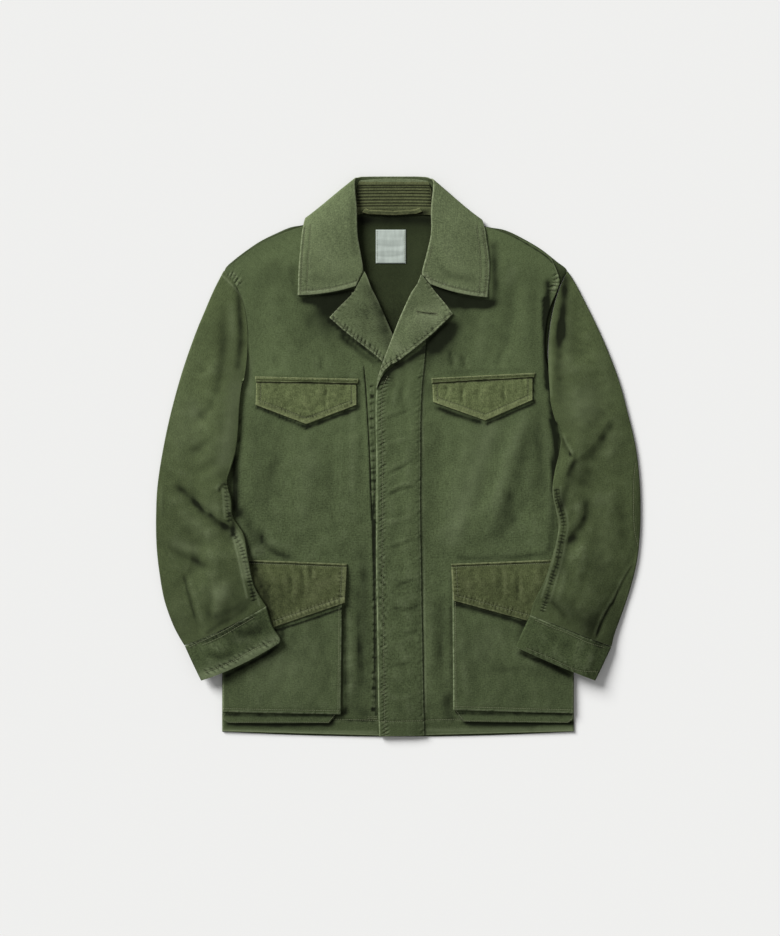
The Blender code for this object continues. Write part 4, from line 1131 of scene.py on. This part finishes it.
front_left = cloth_sheet(
    "front_left", LEFT_FRONT, (4.4, 1.8), body_twill, "body_twill", left_front_under, curved=True,
    crowded=[(1.0, 14, 1.5), (0.25, 12, 1.0)], marks=BODY_CREASES,
    seams=[Seam(("start", 21.5, 0, 1), 0.45, 0.22, 8, 5), Seam(("b", 7, 0.85, 0.94), 0.2, 1.1, 5.5, 5.5, 0.4, 0)],
    shades=[
        (6, 0.3, 45, 149, 39, 118, 35, 79), (7, 0.35, 62, -201, 60, -285, 67, -358),
        (1.2, 1, 127.5, 320.5, 157, 309.5, 185, 294, 206, 280.5, 215.5, 271), (4, 0.3, 67, 118, 132, 120, 185, 121),
        (4.4, 1.2, 49, 70, 87, 56, 122, 46), (2.8, 1.2, 124.5, 45.5, 189, 74), (2.2, 1, 189.5, 110, 190.5, 76.5),
        (5.5, 1.1, 209, 253, 209, 219, 207, 174), (4.6, 1.6, 206, 226, 207, 149, 209, 90),
        (5, 0.25, 211, 86, 213, 37, 214, -19),
        (5, 1.2, 213, 107, 218, 44, 223, 16, 220, -33), (3.8, 1.4, 216, 51, 221, 23, 220, -19),
        (9, 0.28, 199, 86, 206, -61), (4, 1.3, 220, 6, 218, -26, 217, -54), (5, 0.7, 216, -47, 216, -89, 210, -139),
        (1.3, -0.7, 215.5, 276.5, 222.5, 258.5, 222.5, 244.5, 215.5, 230.5), (13, 0.4, 185, 44, 162, -47, 136, -134),
        (6, 0.3, 193, -27, 176, -64, 154, -106), (6, 0.3, 160, -41, 137, -94, 115, -139),
        (14, -0.3, 137, 62, 90, -75, 67, -134), (4, 0.6, 76, -141, 143, -141, 210, -136), (5, 0.35, 45, 107, 46, 76),
        (11, 0.25, 160, 233, 154, 177, 143, 146), (8, -0.2, 165, 272, 150, 233),
        (3.8, 1.3, 94, -372, 171, -373, 246, -373), (6, 0.5, 94, -377, 199, -377), (1.4, -0.7, "start", 0.8, 0, 1),
        (6, 0.6, 70, -327, 67, -358, 84, -372), (3, -0.4, 34, -383, 246, -381), (7, 1.3, 36, 239, 87, 220, 134, 214),
        (7, 0.95, 132, 306, 135, 254, 134, 202), (10, 0.9, 42, 239, 90, 202), (22, 0.4, 38, 233, 90, 208, 120, 149),
        (14, 1.1, 90, 197, 31, 138), (28, 0.6, 98, 188, 31, 118), (7, 0.7, 81, 214, 137, 209),
        (5, 0.8, 38, 149, 10, 134, -11, 124), (2.4, 0.9, 73, -209.5, 73, -357.5), (2, 0.8, 75.5, -152, 75.5, -203.5),
        (3.5, 1, 167, -272, 246, -309), (1.2, -0.55, 37, 128, 34.5, 79, 34, 23, 34.5, -103, 36.5, -201, 38.5, -357.5),
    ],
)
fly = cloth_sheet(
    "fly", FLY, (1.7, 1.5), body_twill, "body_twill", fly_under, curved=True, edge_wear=1.6, marks=FLY_CREASES,
    crowded=[(0.95, 5, 1.5), (0.05, 7, 0.8)], rim=0.15,
    seams=[
        Seam(("a", 8.5, 0, 0.8), 0.3, 0.45, 5.2, 6, 0.5, 0),
        Seam(("b", 3.2, 0, 0.97), 0.15, 0.22, 9, 6, 0.6, -0.2, False), Seam(("start", 21, 0, 1), 0.45, 0.2, 8, 5),
    ],
    shades=[
        (1.8, 1.3, -28.5, 98.5, -24, 108.5, -15.5, 117.5, -1.5, 126), (6, 0.35, -24, 96, -13, 108, 1, 120),
        (6.5, 1.1, -39, 93, -11, 120, 20, 138, 59, 166), (0.8, 0.7, "b", 0.5, 0, 1), (3, 0.12, "b", 4.5, 0, 1),
    ],
)
sewn(back, ["floor"])
sewn(front_right, [back], tacks=[
    ((-42.3, -363.6), (-29.4, -363.6), 0.9), ((-42.3, -366.4), (-29.4, -366.4), 0.9),
    ((-38.5, -49.7), (-31.9, -49.7), 0.5),
])
sewn(front_left, [back, front_right])
sewn(fly, [front_left], tacks=[
    ((-29.5, -85.4), (-19.3, -85.4), 0.8), ((-28.6, -208.7), (-19.6, -208.7), 0.8),
    ((-27.7, -327.6), (-19, -327.6), 0.8), ((-27.4, -331.1), (-19, -331.1), 0.8),
])

lapel_right = cloth_sheet(
    "lapel_right", RIGHT_LAPEL, (1.5, 1.5), collar_twill, "body_twill", right_lapel_under, edge_wear=1.4,
    seams=[Seam(("a", 4, 0, 0.6), 0.4, 0.4, 6.5, 6, 0.3), Seam(("a", 5, 0.6, 1), 0.35, 0.3, 6.5, 5, 0.3)],
    shades=[(12, 0.6, -48, 253, -21, 191, -3, 127), (34, 0.4, -81, 247, -11, 128)],
)
lapel_left = cloth_sheet(
    "lapel_left", LEFT_LAPEL, (1.5, 1.5), collar_twill, "body_twill", left_lapel_under, edge_wear=1.4,
    seams=[
        Seam(("b", 4, 0.12, 0.72), 0.4, 0.4, 6.5, 6, -0.3), Seam(("b", 5, 0.72, 1), 0.35, 0.3, 6.5, 5, -0.3),
        Seam([26.5, 201.5, 54.5, 198.5], 0.7, 0.15, 7, 3.5, 0, 0, False),
    ],
    shades=[
        (22, -0.3, 42, 230, 53, 208, 20, 166), (12, -0.3, -8, 141, 8, 158),
        (1.1, 1.1, 26.5, 202.5, 39, 199.5, 53, 199),
    ],
)
sewn(lapel_right, [front_right])
sewn(lapel_left, [front_left], tacks=[
    ((26.3, 202.7), (54.6, 199.5), 0.55), ((26.3, 200.5), (54.6, 197.3), 0.55), ((25.8, 204.3), (25.5, 198.7), 0.8),
    ((54.9, 200.9), (54.6, 195.9), 0.8),
])


def leaf_fronts(v):
    """The collar's leaf is creased on its two fronts, not round the back of the neck."""
    return smooth((0.29 - v) / 0.03) + smooth((v - 0.71) / 0.03)


collar_leaf = cloth_sheet(
    "collar_leaf", COLLAR_LEAF, (1.8, 1.8), collar_twill, "body_twill", curved=True, edge_wear=1.3,
    creases=COLLAR_CREASES, only=leaf_fronts,
    seams=[
        *(
            Seam(("a", inset, *stretch), *how)
            for stretch in ((0, 0.26), (0.74, 1))
            for inset, how in ((4, (0.5, 0.24, 4.8, 3.4)), (12.5, (0.4, 0.16, 5.2, 3.4, 0, 0.15)))
        ),
        *(Seam((end, 6, 0.03, 1), 0.5, 0.26, 5, 4.2) for end in ("start", "stop")),
        Seam(("b", 5, 0.83, 0.99), 0.3, 0.2, 5, 4),
    ],
    shades=[
        (5, 0.5, -63, 365, -64, 317, -59, 272), (3.8, -0.5, "start", 2.5, 0, 1), (3.8, -0.5, "stop", 2.5, 0, 1),
        (4, 0.22, 56, 272, 73, 253, 112, 246), (3, -0.6, 39, 253, 43, 242),
    ],
)
STAND_ROWS = (378.0, 374.9, 370.8, 366.7, 362.2, 357.8, 353.5, 349.7)
collar_stand = cloth_sheet(
    "collar_stand", COLLAR_STAND, (0.8, 2.4), neck_twill, "neck_twill", wall=GUSSET_CLOTH, curved=True,
    edge_wear=0.3, crinkle=0.25,
    seams=[Seam([-60, y, -6, y + 0.6, 50, y], 0.45, 0.12, 8, 1.6, 0.9, 0, False) for y in STAND_ROWS],
    shades=[(0.85, 0.5, -58, y, -30, y + 0.5, -6, y + 0.2, 20, y + 0.9, 48, y) for y in STAND_ROWS]
    + [(0.9, -0.3, -58, y - 2, -6, y - 1.4, 48, y - 2) for y in STAND_ROWS[1:]]
    + [
        (4.5, -0.35, -58, 384, 48, 384), (5, 0.6, -57, 387, -56, 348), (4, 0.5, 46, 387, 46, 348),
        (5.5, 1.1, -59, 341, 49, 340),
    ],
)
for face in collar_stand.mesh.polygons:
    face.material_index = 1 if face.center.y > 383.5 * MM else 0
collar_stand.mesh.materials.append(collar_twill)
hanger_loop = cloth_sheet(
    "hanger_loop", HANGER_LOOP, (0.9, 1.3), neck_twill, "neck_twill", hanger_under, wall=GUSSET_CLOTH, edge_wear=1.5,
    shades=[(2.2, 0.6, -50.5, 340, -4, 339.5, 26.5, 341), (5, 0.25, -50, 344, -4, 344, 27, 345)],
)
neck_label = cloth_sheet(
    "neck_label", LABEL, (1.2, 1.2), label_satin, "label_satin", label_under, wall=LABEL_CLOTH, edge_wear=0.0,
    creases=[
        ([-32, left, -11, middle, 10, right], half_width, height, 0, 0.2, 0.1)
        for left, middle, right, half_width, height in (
            (304, 302, 303, 3.2, 0.5), (296, 293.5, 294.5, 2.6, -0.4), (286.5, 287.5, 286.5, 2.6, 0.4),
            (280.5, 279.5, 282, 2.2, -0.4),
        )
    ],
    seams=[Seam((end, 1.6, 0.02, 0.98), 0.15, 0.05, 6, 3, 0, 0) for end in ("start", "stop")],
)
sewn(collar_leaf, [back, front_right, front_left])
sewn(collar_stand, [back], thread=dark_thread)
sewn(hanger_loop, [collar_stand])
sewn(neck_label, [back])

for side, front, tables in (
    ("right", front_right, (RIGHT_CHEST_WELT, RIGHT_CHEST_FLAP, RIGHT_GUSSET, RIGHT_POCKET, RIGHT_POCKET_FLAP)),
    ("left", front_left, (LEFT_CHEST_WELT, LEFT_CHEST_FLAP, LEFT_GUSSET, LEFT_POCKET, LEFT_POCKET_FLAP)),
):
    welt, flap, gusset, pocket, pocket_flap = tables
    inner, flap_inner = ("b", "stop") if side == "right" else ("a", "start")
    made = cloth_sheet(
        "chest_welt_" + side, welt, (0.55, 1.4), flap_twill, "trim_twill", fronts_by_side, wall=GUSSET_CLOTH,
        edge_wear=1.2, marks=FLAP_CREASES,
        seams=[Seam(("a", 1.2, 0, 1), 0.25, 0.2, 6, 3), Seam(("b", 2.2, 0, 1), 0.3, 0, 6, 2, 0, 0, False)],
        shades=[
            (1.5, 1.5, -199, 103, -176.5, 103, -151, 102.5, -129, 103, -102, 102, -57.5, 101),
            (1.5, 1.5, 49, 102, 101, 105, 122, 106.5, 143, 107, 187.5, 110), (0.7, 0.7, -199, 107.5, -57.5, 105.5),
            (0.7, 0.7, 47.5, 107, 190.5, 114),
        ],
    )
    sewn(made, [front])
    made = cloth_sheet(
        "chest_flap_" + side, flap, (1.1, 1.15), flap_twill, "trim_twill", chest_flap_under, edge_wear=1.5,
        crinkle=0.45, marks=FLAP_CREASES,
        seams=[Seam(("b", 8.5, 0.03, 0.97), 0.5, 0.22, 4.6, 5)]
        + [Seam((end, 6.5, 0.05, 0.9), 0.6, 0.1, 6.5, 2.4) for end in ("start", "stop")],
        shades=[
            (1.3, 1.5, "a", 0.2, 0, 1), (3.6, -0.35, "b", 4, 0, 1),
            (2.4, 0.4, -190.5, 73.5, -159.5, 63.5, -130, 54, -95, 63.5, -64.5, 75),
            (2, 0.35, -133, 66.5, -122, 66.5, -119, 61, -127.5, 56.5),
        ],
    )
    sewn(made, [front])
    gusset_piece = cloth_sheet(
        "pocket_gusset_" + side, gusset, (3.2, 3.2), body_twill, "body_twill", fronts_by_side, wall=GUSSET_CLOTH,
        edge_wear=0.5, seams=[Seam(("a", 2, 0.02, 0.98), 0.2, 0.15, 7, 3)],
        shades=[
            (2.6, 1.1, -246.5, -360.5, -77, -362), (2.6, 1.1, 77, -358.5, 246.5, -360.5),
            (1, 0.6, "a", 0.2, 0.3, 0.7),
        ],
    )
    sewn(gusset_piece, [front])
    face = cloth_sheet(
        "pocket_face_" + side, pocket, (2.2, 2.0), body_twill, "body_twill", pocket_face_under, edge_wear=1.3,
        marks=POCKET_CREASES,
        seams=[Seam(("start", 5, 0, 1), 0.3, 0.15, 7, 4), Seam((inner, 4, 0, 0.9), 0.3, 0.15, 7, 4)],
        shades=[
            (2.2, 1.2, -204.5, -252.5, -137, -232.5, -73, -210), (4.4, 1.2, 74, -204, 143, -223, 185, -236),
            (4, 0.5, 181, -218, 172, -243, 165, -264), (6, 0.35, 108, -302, 188, -292),
            (4, 1.1, -164, -262, -182, -275, -199, -285, -246, -310),
            (4, 1.1, 164, -271, 185, -281, 206, -289, 246, -309), (4, 0.8, -162, -236, -160, -257),
            (40, -0.16, -235, -327, -165, -299, -88, -257), (26, -0.16, 101, -243, 143, -285),
            (14, 0.3, 171, -302, 206, -299, 244, -310),
        ],
    )
    sewn(face, [gusset_piece])
    made = cloth_sheet(
        "pocket_flap_" + side, pocket_flap, (1.6, 1.6), pocket_flap_twill, "trim_twill", pocket_flap_under,
        edge_wear=1.5, crinkle=0.4, marks=FLAP_CREASES,
        seams=[
            Seam(("a", 4.5, 0, 1), 0.45, 0.15, 8, 3.5), Seam(("b", 8.5, 0, 1), 0.45, 0.34, 5.5, 6),
            Seam((flap_inner, 7, 0.1, 0.9), 0.45, 0.3, 6, 5),
        ],
        shades=[
            (18, 0.3, -190, -184, -165, -190, -140, -192), (1.1, 0.8, "a", 3, 0, 1),
            (8, 0.75, -213, -108, -196, -166, -174, -234), (3, -0.4, -77, -145, -77, -209),
            (3.6, -0.5, -74, -196, -158, -225), (16, -0.22, -109, -166, -101, -190),
            (10, -0.2, -130, -187, -109, -206), (14, -0.18, 106, -173, 90, -187), (8, 0.3, 199, -159, 216, -187),
        ],
    )
    sewn(made, [face, front])

sleeve_right = cloth_tube(
    "sleeve_right", RIGHT_SLEEVE, 2.1, sleeve_twill, "body_twill", puff=0.6 * PUFF, folds=RIGHT_SLEEVE_FOLDS,
    creases=RIGHT_SLEEVE_CREASES, head=0.12, head_reach=190, tuck=2.0, over=right_front_under, flat_side=0.5,
    seams=[
        Seam([-241, 259.5, -229.5, 247, -220, 234.5, -210, 223.5], 0.35, 0.35, 5.5, 4, thread=False),
        Seam([-239.5, -37, -238, -65, -235, -93], 0.3, 0.65, 5, 4, 0, 0, False),
        Seam([-229.5, -107, -218.5, -126.5, -213, -145, -208.5, -163, -205, -180, -199.5, -202.5], 0.3, 0.6, 5, 4.4,
            0, 0, False),
        Seam([-231, -90.5, -217, -110, -211.5, -128], 0.1, 0, 6, 4, 0, 0.5, False),
    ],
    shades=[
        (6, 0.35, -316, -36, -302, -46, -286, -60, -267, -74), (5, 0.4, -286, -62, -263, -79, -246, -92, -221, -108),
        (8, -0.25, -270, -61, -255, -72, -241, -80), (12, -0.4, -221, 118, -246, -26),
        (9, 0.25, -269, -83, -246, -99, -218, -114), (7, -0.35, -322, -118, -272, -134),
        (6, 0.8, -225, 258, -223, 219, -220, 170, -225, 114),
        (1.2, -0.7, -246.5, 254, -232.5, 240, -220, 226, -214, 215), (4.5, -0.4, -239, -44, -237, -83),
        (3.8, 0.8, -234, -80, -230, -94, -231, -110), (6, -0.8, -230, -97, -217, -131, -209, -176),
        (8, 0.2, -316, -139, -272, -153, -227, -164), (5, 0.3, -210, -166, -202, -195),
        (12, -0.4, -269, -190, -227, -190), (9, -0.3, -297, 62, -272, 65),
        (8, 0.65, -266, -229, -227, -212, -185, -181), (8, 0.32, -244, 219, -245, 156, -258, 82, -277, 58),
        (5, -0.12, -234, 219, -230, 163), (30, -0.16, -291, 107, -305, -19), (6, 0.22, -253, 34, -274, 16, -300, 1),
        (3.8, 0.2, -336, -122, -269, -152),
        (1.6, -0.55, -221, -91.5, -211.5, -117, -207, -145, -200, -180, -193, -206.5),
        (1.4, -0.6, -234, -103, -227, -124, -221, -147.5, -215.5, -173, -210, -196.5),
        (1.4, -0.5, -245, -44, -242, -86), (6, 0.35, -244, -90, -235, -103),
        (4, 0.5, -270, -250, -249, -234, -221, -219, -207, -206), (26, 0.25, -305, -201, -277, -229, -242, -201),
        (6, -0.2, -239, 258, -230, 247),
    ],
)
sleeve_left = cloth_tube(
    "sleeve_left", LEFT_SLEEVE, 2.1, sleeve_twill, "body_twill", puff=PUFF, folds=LEFT_SLEEVE_FOLDS,
    creases=LEFT_SLEEVE_CREASES, head=0.5,
    seams=[
        Seam([221, -44, 222.5, -61, 228, -77.5, 231, -90.5, 230.5, -103, 227.5, -117, 222, -145, 215.5, -166,
            209.5, -187, 200, -217.5], 0.3, 0.42, 5, 4.2, 0, 0, False),
        Seam([332, -9, 329.5, -33, 329, -61, 330.5, -103, 337.5, -131], 0.3, 0, 6, 3, 0, 0.4),
        Seam([239.5, 271, 231, 255.5, 220, 230.5, 210, 203.5], 0.3, 0.3, 5.5, 4),
    ],
    shades=[
        (1.4, -0.5, 215.5, -42.5, 217, -61, 222.5, -79, 225.5, -91.5, 224, -105.5, 221, -124, 214, -150.5,
            200, -195.5),
        (1.4, -0.4, 227, -42.5, 228, -59.5, 234, -76.5, 236.5, -90.5, 236, -104.5, 233, -119.5, 227, -147.5,
            211.5, -201),
        (7, 0.45, 218, -38, 227, -69, 231, -103), (7, 0.45, 227, -103, 220, -139, 211, -178),
        (7, 0.7, 251, 6, 238, -33, 225, -80), (7, 0.6, 238, -108, 223, -173), (3.4, 1.2, 220, 46, 223, 23, 221, -2),
        (15, 0.6, 182, -184, 234, -212, 286, -248), (2.5, -0.25, 215.5, 219, 213, 177, 212, 121, 214, 86),
        (7.5, 1.1, 235, 261, 227, 156), (9, 0.5, 228, 194, 224, 135, 225, 65), (26, -0.3, 255, 118, 260, 79, 255, 29),
        (12, 0.36, 311, 74, 291, 34, 276, 10, 252, -18), (13, 0.4, 266, -8, 258, -30, 246, -50),
        (6, -0.3, 251, -61, 246, -80), (12, -0.22, 283, -47, 286, -75),
        (7, 0.5, 260, -52, 259, -78, 252, -94, 235, -117), (4, 0.3, 335, -19, 335, -61, 336, -117),
        (12, 0.35, 280, -201, 263, -260), (6, 0.3, 339, -153, 322, -178, 305, -209, 291, -237),
    ],
)
cuff_right = cloth_tube(
    "cuff_right", RIGHT_CUFF, 1.9, cuff_twill, "body_twill", wall=CUFF_CLOTH, puff=0.4 * PUFF, creases=CUFF_CREASES,
    edge_wear=1.2,
    seams=[
        Seam([-291, -265.5, -263, -252.5, -235, -238.5, -207, -220.5, -196, -215], 0.4, 0.3, 6, 3.5, 0.4, 0.2),
        Seam([-273, -262.5, -256, -255.5, -242, -248.5, -221, -236, -199, -223.5], 0.35, 0.3, 6, 3.5, 0.4, 0.2),
        Seam([-270, -300.5, -242, -290.5, -221, -279.5, -200, -268, -176.5, -258.5, -165, -257], 0.5, 0.32, 7.5, 6.5,
            0.6),
    ],
    shades=[
        (1.6, 0.7, -291, -263, -263, -250.5, -235, -236.5, -207, -218.5, -196, -212),
        (1.6, 0.7, -270, -259.5, -242, -245.5, -221, -233, -199, -220.5),
        (11, 0.75, -249, -260, -214, -246, -176, -229), (9, -0.6, -286, -313, -221, -285, -148, -243),
        (12, 0.2, -284, -271, -256, -288, -221, -274),
    ],
)
cuff_left = cloth_tube(
    "cuff_left", LEFT_CUFF, 1.9, cuff_twill, "body_twill", wall=CUFF_CLOTH, puff=0.4 * PUFF, creases=CUFF_CREASES,
    edge_wear=1.2,
    seams=[
        Seam([199, -222, 213, -229, 236.5, -238.5, 269, -254, 295.5, -262.5], 0.3, 0.2, 6, 3.5, 0.4, 0.1),
        Seam([190.5, -227.5, 213, -237.5, 235, -245.5, 263, -258.5, 288.5, -266.5], 0.3, 0.2, 6, 3.5, 0.4, 0),
        Seam([178, -266.5, 199, -275, 227, -287.5, 250.5, -297.5, 283, -300.5], 0.5, 0.28, 7.5, 6, 0.6),
    ],
    shades=[(1.6, 1.2, 271.5, -257, 295.5, -264.5), (1.6, 0.9, 273, -262, 285.5, -265.5)],
)
sewn(sleeve_right, [front_right])
sewn(sleeve_left, [front_left])
sewn(cuff_right, [sleeve_right])
sewn(cuff_left, [sleeve_left])

# Floor, light and camera

sheet = bmesh.new()
bmesh.ops.create_grid(sheet, x_segments=1, y_segments=1, size=FLOOR_REACH)
floor_mesh = bpy.data.meshes.new("floor")
sheet.to_mesh(floor_mesh)
sheet.free()
floor_finish = Finish("pale_floor")
floor_finish.surface(Base_Color=(0.80, 0.80, 0.79, 1), Roughness=0.9, Specular_IOR_Level=0.1)
floor_mesh.materials.append(floor_finish.material)
floor = bpy.data.objects.new("floor", floor_mesh)
bpy.context.scene.collection.objects.link(floor)

world = bpy.data.worlds.new("studio")
bpy.context.scene.world = world
world.use_nodes = True
world.node_tree.nodes["Background"].inputs["Color"].default_value = (1, 1, 1, 1)
world.node_tree.nodes["Background"].inputs["Strength"].default_value = 0.30

key_light = bpy.data.lights.new("window", "SUN")
key_light.energy = 4.9
key_light.angle = math.radians(28)
key = bpy.data.objects.new("window", key_light)
key.rotation_mode = "QUATERNION"
key.rotation_quaternion = Vector(WINDOW_FROM).to_track_quat("Z", "Y")
bpy.context.scene.collection.objects.link(key)

lens = bpy.data.cameras.new("camera")
lens.lens = 85
lens.sensor_width = 36
camera = bpy.data.objects.new("camera", lens)
camera.location = CAMERA_PLACE
bpy.context.scene.collection.objects.link(camera)
bpy.context.scene.camera = camera
bpy.context.scene.view_settings.view_transform = "Standard"
